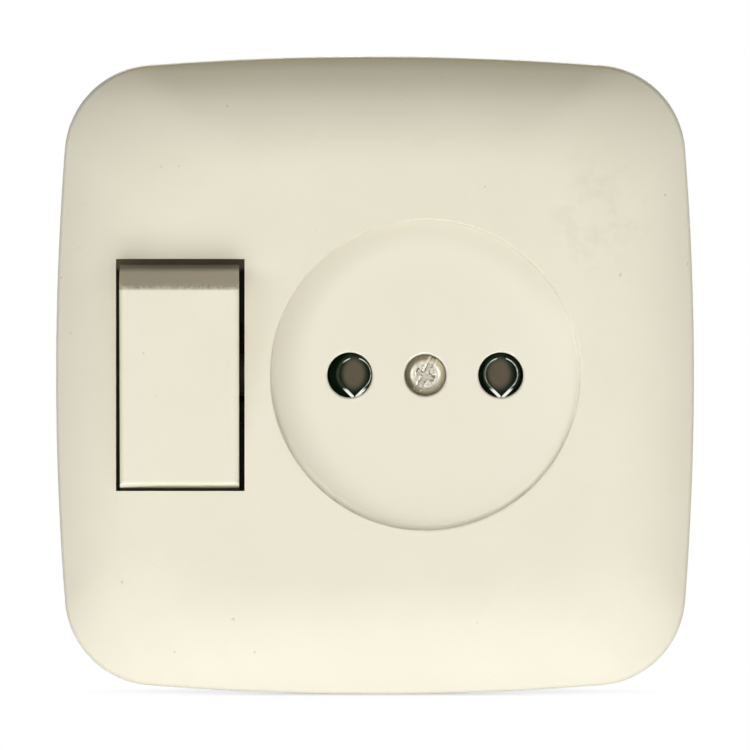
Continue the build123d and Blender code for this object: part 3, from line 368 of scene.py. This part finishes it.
upward = (0, 0, 1)
downward = (0, 0, -1)
terminal_seats = (
    ((-17.0, 8.0, 21.0), upward, 25.0),
    ((-17.0, 8.0, -21.0), downward, -40.0),
    ((-8.8, 8.0, -13.7), downward, 62.0),
    ((15.93, 8.0, -20.8), downward, 10.0),
)
terminal_screw_sizes = {
    "Head radius": 2.2,
    "Head height": 1.5,
    "Dome": 0.35,
    "Shank radius": 1.2,
    "Shank length": 2.2,
    "Thread depth": 0.2,
    "Pitch": 0.5,
    "Slot width": 0.7,
    "Slot depth": 0.75,
    "Rows": 76,
    "Finish": steel,
}
drive_screws("terminal_clamp_screws", "terminal_screws", terminal_seats, terminal_screw_sizes)


# Socket contacts and common strip: two bowed leaves of sprung bronze for each pin, meeting in a V below it,
# and the strip that feeds the left pair from the switch. Stamped and bent; the faces have gone dark.
# The sheared front edges of the leaves, their ends and the feet of the V carry painted highlights.
def reach_from(place, spot):
    """How far a point lies from a line that runs from front to back through a spot."""
    across, deep, up = shares(apart(place, spot))
    return (across * across + up * up) ** 0.5


sprung, shader, place = begin_finish("dark_sprung_bronze", metallic=1.0)
green_bronze = (0.020, 0.040, 0.019, 1)
brown_bronze = (0.050, 0.056, 0.032, 1)
highlight_white = (0.96, 0.96, 0.90, 1)
patina = between(noise(place, 260.0, 4.0, 0.6), 0.42, 0.75)
fine = noise(place, 2400.0, 2.0)
bronze = blended(patina, green_bronze, brown_bronze)
leaf_z = 0.0001
edge_line = (0.00206, 0.00215)
leaf_outside = (0.0034, 0.0040)
leaf_foot = (-0.00165, -0.0021)
leaf_end = (0.0013, 0.0018)
foot_gap = (0.00005, 0.00012)
left_to_right = (-0.0004, 0.0004)
v_start = (-0.00002, 0.00002)
sheared_front = (-0.00612, -0.00618)
painted_highlight = 0.0
# Painted highlights along the front edge of each leaf, at its end and at the feet of the V, weaker on the
# left of each hole
for leaf_x, left_glint, right_glint in ((-0.00257, 0.02, 0.62), (0.01593, 0.45, 0.78)):
    across, deep, up = shares(apart(place, (leaf_x, 0.0, leaf_z)))
    sideways = unsigned(across)
    reach = reach_from(place, (leaf_x, 0.0, leaf_z))
    in_v = between(-1.0 * up - sideways, *v_start)
    reach = reach + in_v * ((sideways - up) * math.sqrt(0.5) - reach)
    line = 1.0 - between(reach, *edge_line)
    bow = left_glint + (right_glint - left_glint) * between(across, *left_to_right)
    bow = bow * (0.55 + 0.45 * between(noise(place, 2100.0, 2.0), 0.4, 0.6))
    foot = between(up, *leaf_foot) * between(sideways, *foot_gap)
    end = between(up, *leaf_end)
    glint = line * bow * (1.0 - foot) * (1.0 - end) + 0.95 * foot + 0.85 * end * line
    painted_highlight = painted_highlight + (1.0 - between(sideways, *leaf_outside)) * glint
across, deep, up = shares(place)
painted_highlight = painted_highlight * between(deep, *sheared_front)
sheen = (1.0 - painted_highlight) * (0.38 + 0.15 * patina + 0.08 * fine) + 0.1 * painted_highlight
close_finish(shader, blended(painted_highlight, bronze, highlight_white), sheen, raised(fine, 0.1, 0.00004))
dress(sprung, "socket_contact_left", "socket_contact_right", "common_strip")


# Seesaw contact: a nickelled bronze blade with a shallow V, rocked by the plunger on a cross pin.
# Blanked from strip and bent, bright where the plating holds and brown where it has worn through.
nickel, shader, place = begin_finish("nickelled_bronze", metallic=1.0)
bright_nickel = (0.66, 0.63, 0.56, 1)
worn_nickel = (0.40, 0.34, 0.25, 1)
worn = between(noise(place, 260.0, 4.0, 0.6), 0.42, 0.75)
fine = noise(place, 2400.0, 2.0)
sheen = 0.2 + 0.2 * worn + 0.08 * fine
close_finish(shader, blended(worn, bright_nickel, worn_nickel), sheen, raised(fine, 0.1, 0.00004))
dress(nickel, "contact_seesaw")


# Contact tips: silver buttons riveted through the seesaw and the two fixed contacts.
# Headed cold from wire, and greyed in spots by the arc.
silver, shader, place = begin_finish("arced_silver", metallic=1.0)
clean_silver = (0.80, 0.78, 0.73, 1)
burnt_silver = (0.30, 0.28, 0.25, 1)
arc = between(noise(place, 900.0, 4.0, 0.6), 0.4, 0.65)
close_finish(shader, blended(arc, clean_silver, burnt_silver), 0.18 + 0.35 * arc, raised(arc, 0.2, 0.00004))
dress(silver, "seesaw_tips", "fixed_tips")


# Support ring: the steel plate that lies on the wall and carries the base, the claws and the rocker's lugs.
# Stamped, dipped in black lacquer and baked; the lacquer is thin, so steel shows in small chips and scuffs.
# Behind the gap above the rocker it carries a brown patch of painted shade.
def band(mask, rise, fall):
    """A mask that is 1 from the end of the rise to the start of the fall, and 0 outside them."""
    return between(mask, *rise) * (1.0 - between(mask, *fall))


lacquer, shader, place = begin_finish("black_lacquered_steel", specular=0.25)
lacquer_black = (0.011, 0.014, 0.010, 1)
lacquer_grey = (0.019, 0.021, 0.016, 1)
scuffed_grey = (0.036, 0.035, 0.031, 1)
gap_shade_brown = (0.22, 0.185, 0.120, 1)
bare_steel = (0.30, 0.29, 0.27, 1)
orange_peel = noise(place, 900.0, 3.0)
chip = between(noise(place, 260.0, 6.0, 0.7), 0.68, 0.72)
scuff = between(noise(place, 55.0, 4.0, 0.6), 0.52, 0.75)
black = blended(orange_peel, lacquer_black, lacquer_grey)
black = blended(0.5 * scuff, black, scuffed_grey)
ring_face = (-0.0006, -0.0010)
patch_foot = (0.0130, 0.0138)
patch_head = (0.0156, 0.0170)
patch_left = (-0.0335, -0.0325)
patch_right = (-0.0168, -0.0160)
across, deep, up = shares(place)
# Painted shade: a brown patch on the ring where it shows through the gap above the rocker
shade_behind_gap = band(up, patch_foot, patch_head) * between(deep, *ring_face) * band(across, patch_left, patch_right)
black = blended(0.9 * shade_behind_gap, black, gap_shade_brown)
(0.8 * chip).into(shader, "Metallic")
sheen = 0.40 + 0.14 * orange_peel + 0.12 * scuff
baked_skin = raised(orange_peel - 2.0 * chip, 0.12, 0.00008)
close_finish(shader, blended(chip, black, bare_steel), sheen, baked_skin)
dress(lacquer, "support_ring")


# Ring screws: three slotted screws through the ring into the base.
# Turned from steel and zinc plated in a barrel, so they are pale, a little spangled and dulled by handling.
zinc, shader, place = begin_finish("dull_zinc_plate", metallic=1.0)
zinc_grey = (0.44, 0.45, 0.44, 1)
zinc_pale = (0.56, 0.56, 0.53, 1)
handled_zinc = (0.34, 0.33, 0.29, 1)
spangle = place.node("ShaderNodeTexVoronoi", {}, {"Vector": place, "Scale": 420.0}, "Color")
tone = spangle.node("ShaderNodeSeparateColor", {}, {0: spangle}, 0)
smear = between(noise(place, 140.0, 4.0, 0.6), 0.35, 0.7)
plating = blended(0.55 * smear, blended(tone, zinc_grey, zinc_pale), handled_zinc)
sheen = 0.3 + 0.16 * smear + 0.08 * tone
close_finish(shader, plating, sheen, raised(noise(place, 3200.0, 2.0), 0.12, 0.00005))
to_front = (0, -1, 0)
ring_seats = (
    ((-12.0, -2.5, 13.0), to_front, 35.0),
    ((19.0, -2.5, 13.0), to_front, -20.0),
    ((7.6, -2.5, -14.2), to_front, 80.0),
)
ring_screw_sizes = {
    "Head radius": 2.2,
    "Head height": 1.3,
    "Dome": 0.3,
    "Shank radius": 1.2,
    "Shank length": 8.2,
    "Thread depth": 0.2,
    "Pitch": 0.5,
    "Slot width": 0.7,
    "Slot depth": 0.7,
    "Rows": 151,
    "Finish": zinc,
}
drive_screws("ring_fixing_screws", "ring_screws", ring_seats, ring_screw_sizes)


# Claws, their nuts and their screws: turning a screw draws its square nut forward and spreads the claw.
# The claws are bent from strip, the nuts are sawn from square bar, and all of it is zinc plated.
dress(zinc, "claw_upper", "claw_lower", "claw_nut_upper", "claw_nut_lower")
claw_seats = (
    ((0.0, -3.2, 20.5), to_front, 15.0),
    ((0.0, -3.2, -20.5), to_front, -55.0),
)
claw_screw_sizes = {
    "Head radius": 3.1,
    "Head height": 2.0,
    "Dome": 0.4,
    "Shank radius": 1.7,
    "Shank length": 19.2,
    "Thread depth": 0.28,
    "Pitch": 0.7,
    "Slot width": 0.9,
    "Slot depth": 1.0,
    "Rows": 301,
    "Finish": zinc,
}
drive_screws("claw_draw_screws", "claw_screws", claw_seats, claw_screw_sizes)


# Pivot pins: the rocker's pin lies between the ring's two lugs, and the seesaw's pin in the base.
# Both are cut from drawn steel rod, bright with fine lines along the draw, and pressed in.
dress(steel, "rocker_pin", "seesaw_pin")


# Plunger spring: a steel coil in the cradle's stem that presses the plunger on the seesaw.
# Wound cold from spring wire with closed end turns; here it keeps one length and rides with the rocker.
stem_foot = Vector((-0.020, -0.004, 0.0))
stem_lean = math.radians(9.0)
stem_way = Vector((0.0, math.cos(stem_lean), math.sin(stem_lean)))
spring_seat = 0.0023
plunger_top = 0.0080
wire_room = 0.0003


def coil_spring_tree():
    """Winds a wire into a spring with closed ends, stood on its seat; the sizes are in millimetres."""
    inputs = {"Turns": "Float", "Coil radius": "Float", "Free length": "Float", "Wire radius": "Float"}
    inputs["Seat"] = "Vector"
    inputs["Lean"] = "Float"
    inputs["Finish"] = "Material"
    tree, size = open_tree("coil_spring", inputs, "Spring")
    length = size["Free length"]
    end_draw = 0.11
    winding = {"Resolution": 32, "Rotations": size["Turns"], "Height": length}
    winding["Start Radius"] = size["Coil radius"]
    winding["End Radius"] = size["Coil radius"]
    wire = length.node("GeometryNodeCurveSpiral", {}, winding)
    along = length.node("GeometryNodeSplineParameter", {}, {}, "Factor")
    swing = along.node("ShaderNodeMath", {"operation": "SINE"}, {0: math.tau * along})
    closed = length.node("ShaderNodeCombineXYZ", {}, {"Z": -end_draw * length * swing})
    wire = length.node("GeometryNodeSetPosition", {}, {"Geometry": wire, "Offset": closed})
    round_wire = {"Resolution": 12, "Radius": size["Wire radius"]}
    section = length.node("GeometryNodeCurvePrimitiveCircle", {}, round_wire)
    tube = {"Curve": wire, "Profile Curve": section, "Fill Caps": True}
    spring = length.node("GeometryNodeCurveToMesh", {}, tube)
    lean = length.node("ShaderNodeCombineXYZ", {}, {"X": size["Lean"]})
    stood = {"Geometry": spring, "Translation": size["Seat"], "Rotation": lean, "Scale": to_metres}
    spring = length.node("GeometryNodeTransform", {}, stood)
    spring = length.node("GeometryNodeSetShadeSmooth", {}, {"Geometry": spring})
    close_tree(tree, spring, size["Finish"], "Spring")
    return tree


spring_sizes = {
    "Turns": 4.5,
    "Coil radius": 1.25,
    "Free length": (plunger_top - spring_seat - 2.0 * wire_room) / millimetre,
    "Wire radius": 0.27,
    "Seat": stem_foot + (spring_seat + wire_room) * stem_way,
    "Lean": stem_lean - math.pi / 2,
    "Finish": steel,
}
spring_marks = bpy.data.meshes.new("spring_marks")
coil_spring = coil_spring_tree()
spring_piece = grow_piece("closed_end_spring", spring_marks, coil_spring, spring_sizes, sharp_angle=50)
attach(spring_piece, "rocker")
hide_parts("plunger_spring")
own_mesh(spring_piece)


# Cradle and plunger: the moulded carrier under the rocker, and the plunger that the spring in its stem
# presses on the seesaw. Dark resin filled with fine fibre, pressed in a small mould.
dark_resin, shader, place = begin_finish("dark_filled_resin", specular=0.3)
resin_black = (0.020, 0.016, 0.012, 1)
resin_brown = (0.038, 0.030, 0.022, 1)
cloud = noise(place, 220.0, 3.0)
fibre = noise(place, 1500.0, 2.0)
sheen = 0.36 + 0.18 * cloud
close_finish(shader, blended(cloud, resin_black, resin_brown), sheen, raised(fibre, 0.12, 0.00006))
dress(dark_resin, "rocker_cradle", "plunger")


# Cover plate: one shell with rolled edges, a round dish for the plug and a window for the rocker.
# Cream urea resin, compression moulded; the satin skin has gone slightly uneven with age.
# The dish has painted shade on its left and top and painted light on its right and lower wall,
# the top rim has painted shade, and specks and a bloom sit in the skin.
def urea_skin(place, low, high):
    """Cream skin of the mouldings: two close tones, soft clouds, fine specks, satin sheen and grain."""
    cloud_cream = (0.785, 0.738, 0.596, 1)
    speck_brown = (0.34, 0.31, 0.25, 1)
    mottle = between(noise(place, 75.0, 4.0, 0.55), 0.3, 0.72)
    cloud = noise(place, 320.0, 3.0)
    grain = noise(place, 4200.0, 2.0)
    speck = between(noise(place, 900.0, 1.0), 0.785, 0.81)
    skin = blended(mottle, low, high)
    skin = blended(0.2 * between(cloud, 0.5, 0.8), skin, cloud_cream)
    skin = blended(0.3 * speck, skin, speck_brown)
    sheen = 0.46 + 0.1 * mottle + 0.08 * cloud
    return skin, sheen, raised(grain + 1.5 * cloud, 0.08, 0.0001)


cream, shader, place = begin_finish("cream_urea_resin", specular=0.35)
plate_low = (0.810, 0.771, 0.632, 1)
plate_high = (0.830, 0.793, 0.654, 1)
skin, sheen, grain = urea_skin(place, plate_low, plate_high)

# Floor of the dish: painted shade in a crescent on the left, and painted light to the right
dish_cream = (0.820, 0.787, 0.655, 1)
dish_shade_grey = (0.52, 0.478, 0.385, 1)
dish_light_cream = (0.845, 0.812, 0.682, 1)
dish_x = 0.00633
dish_radius = 0.0195
dish_floor_y = (-0.0078, -0.0084)
dish_rim = (0.995, 1.008)
shade_shift = 0.0029
shade_width = (0.88, 1.13)
across, deep, up = shares(apart(place, (dish_x, 0.0, 0.0)))
to_right = across / dish_radius
to_top = up / dish_radius
from_middle = reach_from(place, (dish_x, 0.0, 0.0)) / dish_radius
from_shade_middle = reach_from(place, (dish_x + shade_shift, 0.0, 0.0)) / dish_radius
in_dish = (1.0 - between(from_middle, *dish_rim)) * between(deep, *dish_floor_y)
skin = blended(0.8 * in_dish, skin, dish_cream)
skin = blended(0.5 * in_dish * between(from_shade_middle, *shade_width), skin, dish_shade_grey)
skin = blended(in_dish * between(to_right, 0.15, 1.0), skin, dish_light_cream)

# Wall of the dish: painted light at the bottom and the right, painted shade at the top
lip_light_cream = (0.975, 0.935, 0.785, 1)
wall_shade_cream = (0.66, 0.62, 0.50, 1)
wall_light_cream = (0.93, 0.89, 0.745, 1)
wall_end = (1.004, 1.014)
lip = band(from_middle, (0.950, 0.985), wall_end) * between(to_top, -0.25, -0.8)
top_wall = band(from_middle, (0.985, 0.995), wall_end) * between(to_top, 0.0, 0.5)
right_wall = band(from_middle, (0.980, 0.990), (1.004, 1.012)) * between(to_right, 0.85, 0.97)
skin = blended(0.95 * lip, skin, lip_light_cream)
skin = blended(0.45 * top_wall, skin, wall_shade_cream)
skin = blended(0.7 * right_wall, skin, wall_light_cream)

# Upper part of the floor, with painted shade up to the wall's foot
top_floor_shade = (0.70, 0.66, 0.535, 1)
upper_floor_shade = in_dish * between(from_middle, 0.78, 0.96) * between(to_top, 0.2, 0.8)
skin = blended(0.6 * upper_floor_shade, skin, top_floor_shade)

# Painted shade, darker and yellower, on the top rim and its roll; and the bloom at the upper right
top_shade_yellow = (0.64, 0.60, 0.42, 1)
roll_shade_yellow = (0.62, 0.58, 0.385, 1)
bloom_grey = (0.60, 0.565, 0.47, 1)
rim_start = (0.0338, 0.0375)
roll_start = (0.0376, 0.0393)
roll_y = (-0.0066, -0.0050)
bloom_middle = (0.0280, 0.0, 0.0205)
bloom_fade = (0.002, 0.010)
skin = blended(0.3 * between(up, *rim_start), skin, top_shade_yellow)
skin = blended(0.8 * between(deep, *roll_y) * between(up, *roll_start), skin, roll_shade_yellow)
bloom = 1.0 - between(reach_from(place, bloom_middle), *bloom_fade)
bloom = bloom * between(noise(place, 260.0, 4.0, 0.6), 0.45, 0.62)
skin = blended(0.22 * bloom, skin, bloom_grey)
close_finish(shader, skin, sheen, grain)
dress(cream, "cover_plate")


# Rocker: the small cream cap that snaps on the cradle and rocks in the plate's window.
# Pressed in the same urea resin as the plate, coloured a little darker than it.
# Both end faces carry painted shade, darker towards the window, and the lower corner a painted highlight.
rocker_cream, shader, place = begin_finish("rocker_urea_resin", specular=0.35)
rocker_low = (0.754, 0.722, 0.595, 1)
rocker_high = (0.774, 0.744, 0.617, 1)
end_shade_brown = (0.60, 0.50, 0.355, 1)
corner_shade_brown = (0.165, 0.145, 0.105, 1)
crumb_and_shade_brown = (0.10, 0.085, 0.055, 1)
corner_highlight_cream = (0.90, 0.875, 0.755, 1)
window_shade_dark = (0.040, 0.038, 0.024, 1)
skin, sheen, grain = urea_skin(place, rocker_low, rocker_high)

# Along the cap and up from its pivot, as it lies tilted at rest
rocker_pivot_y = -0.004
rocker_lean = math.radians(9.0)
across, deep, up = shares(apart(place, (0.0, rocker_pivot_y, 0.0)))
along = math.cos(rocker_lean) * up - math.sin(rocker_lean) * deep
height = -1.0 * math.sin(rocker_lean) * up - math.cos(rocker_lean) * deep

# Upper end face in painted shade, darker towards the window, with painted shade and crumbs along its corner
upper_end = between(along, 0.01235, 0.01275)
upper_foot = (0.0056, 0.0040)
skin = blended(0.55 * upper_end, skin, end_shade_brown)
skin = blended(0.7 * upper_end * between(height, *upper_foot), skin, crumb_and_shade_brown)
painted_shade = band(along, (0.01192, 0.01226), (0.01246, 0.01274))
painted_shade = painted_shade * (0.8 + 0.2 * between(noise(place, 1400.0, 2.0), 0.4, 0.6))
skin = blended(0.62 * painted_shade, skin, corner_shade_brown)
crumb = between(noise(place, 2600.0, 3.0), 0.50, 0.62) * between(noise(place, 500.0, 2.0), 0.35, 0.6)
crumb = crumb * band(along, (0.01215, 0.01235), (0.01265, 0.01285))
skin = blended(0.6 * crumb, skin, crumb_and_shade_brown)

# Painted highlight on the lower corner, and painted shade where the end face goes down into the window
lower_end = between(along, -0.01232, -0.01258)
lower_foot = (0.0071, 0.0064)
skin = blended(0.7 * lower_end, skin, corner_highlight_cream)
skin = blended(0.9 * lower_end * between(height, *lower_foot), skin, window_shade_dark)
close_finish(shader, skin, sheen, grain)
dress(rocker_cream, "rocker_cap")


# Cover screw: a plated steel screw with a combined slot and cross, holding the plate to the bush.
# Turned and rolled; screwdrivers have raised bright burrs along the slot, the cross carries painted shade,
# and the flank painted shade and light.
screw_x = 6.33
head_top = -8.483
head_height = 1.9
head_radius = 2.48
flat_radius = 1.62
under_radius = 2.0
core_radius = 1.32
thread_pitch = 0.6
thread_rise = 0.3
slot_half = 0.36
arm_reach = 1.25
recess_depth = 0.42
slot_way = math.radians(64.0)


def eased(value, low, high):
    """Climbs smoothly from 0 at low to 1 at high."""
    share = min(1.0, max(0.0, (value - low) / (high - low)))
    return share * share * (3.0 - 2.0 * share)


def worn_head(x, z):
    """How deep the head lies at a point in mm from its middle, and its share of burr, painted shade and
    recess.
    """
    dent_scale = 2.3
    pit_scale = 5.5
    crown_drop = 0.04
    flank_drop = 0.62
    burr_rise = 0.05
    sunk = 0.07
    out = math.hypot(x, z)
    along = abs(x * math.cos(slot_way) + z * math.sin(slot_way))
    over = abs(z * math.cos(slot_way) - x * math.sin(slot_way))
    dent = mathutils.noise.noise(Vector((dent_scale * x, dent_scale * z, 0.7)))
    pit = mathutils.noise.noise(Vector((pit_scale * x, pit_scale * z, 4.1)))

    def recess(half, soft):
        """The slot and the cross arm, with chewed edges."""
        slot = 1.0 - eased(over + 0.18 * dent + 0.12 * pit, half - soft, half + soft)
        arm = 1.0 - eased(along + 0.22 * dent + 0.16 * pit, half - soft, half + soft)
        arm = arm * (1.0 - eased(over, arm_reach - 0.2, arm_reach + 0.1))
        return max(slot, arm)

    flank = max(0.0, (out - flat_radius) / (head_radius - flat_radius))
    cut = recess(slot_half, 0.05)
    lip = recess(slot_half + 0.10, 0.18)
    wall = recess(slot_half - 0.06, 0.16)
    burr = min(1.0, 5.0 * lip * (1.0 - lip)) * (1.0 - cut) * eased(dent + 0.5 * pit, -0.75, -0.1)
    # Painted shade along the walls of the slot and cross, and in spots near the middle
    painted_shade = 4.0 * wall * (1.0 - wall) * eased(pit, -0.25, 0.1) * (1.0 - eased(out, 1.4, 1.8))
    painted_shade = max(painted_shade, 0.8 * eased(pit, 0.28, 0.42) * (1.0 - eased(out, 1.3, 1.5)))
    depth = crown_drop * (out / head_radius) ** 2 + flank_drop * flank ** 1.3
    depth = depth + recess_depth * cut * (1.0 - 0.45 * min(flank, 1.0)) - burr_rise * burr * (1.0 + dent)
    return max(0.0, depth + sunk + 0.02 * dent), burr, painted_shade, cut


# Rings of points from the middle of the head out to its rim, back under it and down the thread
segments = 192
head_rings = 70
rim_rings = 11
shank_rings = 92
rim_top = 0.8
shank_top = 0.3
ring_step = 0.1
rings = [(head_radius * k / head_rings, None) for k in range(1, head_rings + 1)]
rings = rings + [(head_radius, rim_top + ring_step * k) for k in range(rim_rings)]
rings = rings + [(under_radius, head_height), (core_radius, head_height)]
rings = rings + [(core_radius, head_height + shank_top + ring_step * k) for k in range(shank_rings)]
screw = bmesh.new()
wear_and_shade_names = ("burr", "painted_shade", "cut")
for name in wear_and_shade_names:
    screw.verts.layers.float.new(name)
wear_and_shade_layers = [screw.verts.layers.float[name] for name in wear_and_shade_names]


def screw_point(x, sink, z, wear_and_shade):
    """A point of the screw in mm from its axis and its head's top, marked with its burr, painted shade and
    recess.
    """
    point = screw.verts.new([millimetre * part for part in (screw_x + x, head_top + sink, z)])
    for layer, amount in zip(wear_and_shade_layers, wear_and_shade):
        point[layer] = amount
    return point


sink, *wear_and_shade = worn_head(0.0, 0.0)
middle = screw_point(0.0, sink, 0.0, wear_and_shade)
last = None
for radius, depth in rings:
    circle = []
    for k in range(segments):
        angle = math.tau * k / segments
        wide = radius
        sink = depth
        wear_and_shade = (0.0, 0.0, 0.0)
        if depth is None:
            sink, *wear_and_shade = worn_head(radius * math.cos(angle), radius * math.sin(angle))
        elif depth > head_height:
            turns = depth / thread_pitch + k / segments
            wide = radius + thread_rise * abs(turns - math.floor(turns) - 0.5)
        circle.append(screw_point(wide * math.cos(angle), sink, wide * math.sin(angle), wear_and_shade))
    for k in range(segments):
        if last is None:
            screw.faces.new((middle, circle[k], circle[k - 1]))
        else:
            screw.faces.new((last[k - 1], last[k], circle[k], circle[k - 1]))
    last = circle
screw.faces.new(last)
bmesh.ops.recalc_face_normals(screw, faces=screw.faces)
for face in screw.faces:
    face.smooth = True
screw_mesh = bpy.data.meshes.new("worn_cover_screw")
screw.to_mesh(screw_mesh)
screw.free()
screw_mesh.set_sharp_from_angle(angle=math.radians(50))

# Plating, bright on the burrs, with painted shade in the recess and painted shade and light on the flank
worn_plate, shader, place = begin_finish("worn_plated_head", metallic=1.0)
plate_dull = (0.62, 0.575, 0.47, 1)
plate_bright = (0.80, 0.755, 0.64, 1)
flank_lit = (0.78, 0.735, 0.62, 1)
flank_shaded = (0.27, 0.25, 0.18, 1)
burr_bright = (0.94, 0.91, 0.82, 1)
recess_shade_brown = (0.13, 0.115, 0.075, 1)
flank_start = (0.0016, 0.0021)
burr, painted_shade, cut = [
    place.node("ShaderNodeAttribute", {"attribute_name": name}, {}, "Fac") for name in wear_and_shade_names
]
across, deep, up = shares(apart(place, (millimetre * screw_x, 0.0, 0.0)))
out = reach_from(place, (millimetre * screw_x, 0.0, 0.0))
shade_up = 0.5
shade_left = 0.87
shaded_side = between((shade_up * up - shade_left * across) / (out + 0.0001), -0.55, 0.65)
flank = between(out, *flank_start)
scuff = between(noise(place, 2600.0, 4.0, 0.6), 0.35, 0.65)
plate = blended(scuff, plate_dull, plate_bright)
# Painted shade on the upper left of the flank and painted light on its lower right
flank_shading = blended(shaded_side, flank_lit, flank_shaded)
plate = blended(flank * (0.75 + 0.25 * scuff) * (1.0 - 0.8 * cut), plate, flank_shading)
plate = blended(burr, plate, burr_bright)
plate = blended(0.85 * painted_shade, plate, recess_shade_brown)
close_finish(shader, plate, 0.40 - 0.15 * burr + 0.2 * painted_shade, raised(scuff, 0.15, 0.00003))
screw_mesh.materials.append(worn_plate)
screw_piece = put_in_scene("worn_cover_screw", screw_mesh)
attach(screw_piece, "fixed")
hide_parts("cover_screw")


# Stage: a pale floor under the plate that fades into a white room, soft lamps and a long-lens camera.
# The main lamp is a wide soft strip in front of the plate and below it, as in the photograph.
floor_z = cad_low.z - 0.0002
floor_radius = 0.4
floor_corners = 96
floor_mesh = bpy.data.meshes.new("floor")
turns = [math.tau * k / floor_corners for k in range(floor_corners)]
rim = [(floor_radius * math.cos(turn), floor_radius * math.sin(turn), floor_z) for turn in turns]
floor_mesh.from_pydata(rim, [], [list(range(floor_corners))])
floor = put_in_scene("floor", floor_mesh)
floor.visible_shadow = False
floor.visible_diffuse = False

# Floor's finish: matt near the plate, as bright as the room further out, and clear from below
floor_grey = (0.86, 0.86, 0.86, 1)
white = (1, 1, 1, 1)
shade_middle = (0.0, 0.016, 0.0)
shade_half = (0.042, 0.028)
pale_floor = bpy.data.materials.new("pale_floor")
pale_floor.use_nodes = True
tree = pale_floor.node_tree
tree.nodes.clear()
place = Value(tree, tree.nodes.new("ShaderNodeTexCoord").outputs["Object"])
across, deep, up = shares(apart(place, shade_middle))
reach = ((across / shade_half[0]) ** 2.0 + (deep / shade_half[1]) ** 2.0) ** 0.5
seen = place.node("ShaderNodeLightPath", {}, {}, "Is Camera Ray")
matt = place.node("ShaderNodeBsdfDiffuse", {}, {"Color": floor_grey})
glow = place.node("ShaderNodeEmission", {}, {"Color": white, "Strength": 1.0})
fade = seen * (0.35 + 0.65 * between(reach, 0.2, 1.0))
top_face = place.node("ShaderNodeMixShader", {}, {0: fade, 1: matt, 2: glow})
from_under = place.node("ShaderNodeNewGeometry", {}, {}, "Backfacing")
clear = place.node("ShaderNodeBsdfTransparent", {}, {})
both_faces = place.node("ShaderNodeMixShader", {}, {0: from_under, 1: top_face, 2: clear})
both_faces.into(tree.nodes.new("ShaderNodeOutputMaterial"), "Surface")
floor_mesh.materials.append(pale_floor)

# Room: white to the camera and in reflections, and dim as a light
room_light = 0.03
room = bpy.data.worlds.new("white_room")
bpy.context.scene.world = room
room.use_nodes = True
tree = room.node_tree
tree.nodes.clear()
path = tree.nodes.new("ShaderNodeLightPath").outputs
seen = Value(tree, path["Is Camera Ray"]) + Value(tree, path["Is Glossy Ray"])
seen = seen + Value(tree, path["Is Transmission Ray"])
seen = seen.node("ShaderNodeClamp", {}, {"Value": seen})
soft = seen.node("ShaderNodeBackground", {}, {"Color": white, "Strength": room_light})
bright = seen.node("ShaderNodeBackground", {}, {"Color": white, "Strength": 1.0})
sky = seen.node("ShaderNodeMixShader", {}, {0: seen, 1: soft, 2: bright})
sky.into(tree.nodes.new("ShaderNodeOutputWorld"), "Surface")


def lamp(name, spot, aim, size, watts, colour):
    """A flat lamp at a spot, turned to its aim, that the camera doesn't see."""
    made = bpy.data.lights.new(name, "AREA")
    made.shape = "RECTANGLE"
    made.size, made.size_y = size
    made.energy = watts
    made.color = colour
    held = put_in_scene(name, made)
    held.location = spot
    held.rotation_euler = (Vector(aim) - Vector(spot)).to_track_quat("-Z", "Y").to_euler()
    held.visible_camera = False
    return held


cool = (0.985, 0.998, 1.0)
warm = (1.0, 0.985, 0.945)
neutral = (1.0, 1.0, 1.0)
plate_middle = (0, 0, 0)
behind_plate = (0, 0.01, 0)
lamp("low_strip", (0, -0.59, -0.68), plate_middle, size=(0.9, 0.48), watts=7.25, colour=cool)
lamp("left_panel", (-0.72, -0.54, 0), plate_middle, size=(0.45, 0.6), watts=2.5, colour=warm)
lamp("right_panel", (0.72, -0.54, 0), plate_middle, size=(0.45, 0.6), watts=2.66, colour=warm)
front_fill = lamp("front_fill", (0, -1.4, 0), plate_middle, size=(0.1, 0.1), watts=2.48, colour=warm)
front_fill.visible_glossy = False
lamp("top_back", (0, 0.68, 0.68), behind_plate, size=(0.5, 0.12), watts=8.5, colour=neutral)
lamp("left_back", (-0.3, 0.95, 0), behind_plate, size=(0.12, 0.5), watts=2.5, colour=neutral)
lamp("right_back", (0.3, 0.95, 0), behind_plate, size=(0.12, 0.5), watts=2.5, colour=neutral)

film_width = 36.0
camera_distance = 1.6
view_width = 0.0949
camera_data = bpy.data.cameras.new("camera")
camera_data.sensor_width = film_width
camera_data.lens = film_width * camera_distance / view_width
camera = put_in_scene("camera", camera_data)
camera.location = (0, -camera_distance, 0)
camera.rotation_euler = (math.radians(90), 0, 0)
bpy.context.scene.camera = camera
bpy.context.scene.view_settings.view_transform = "Standard"
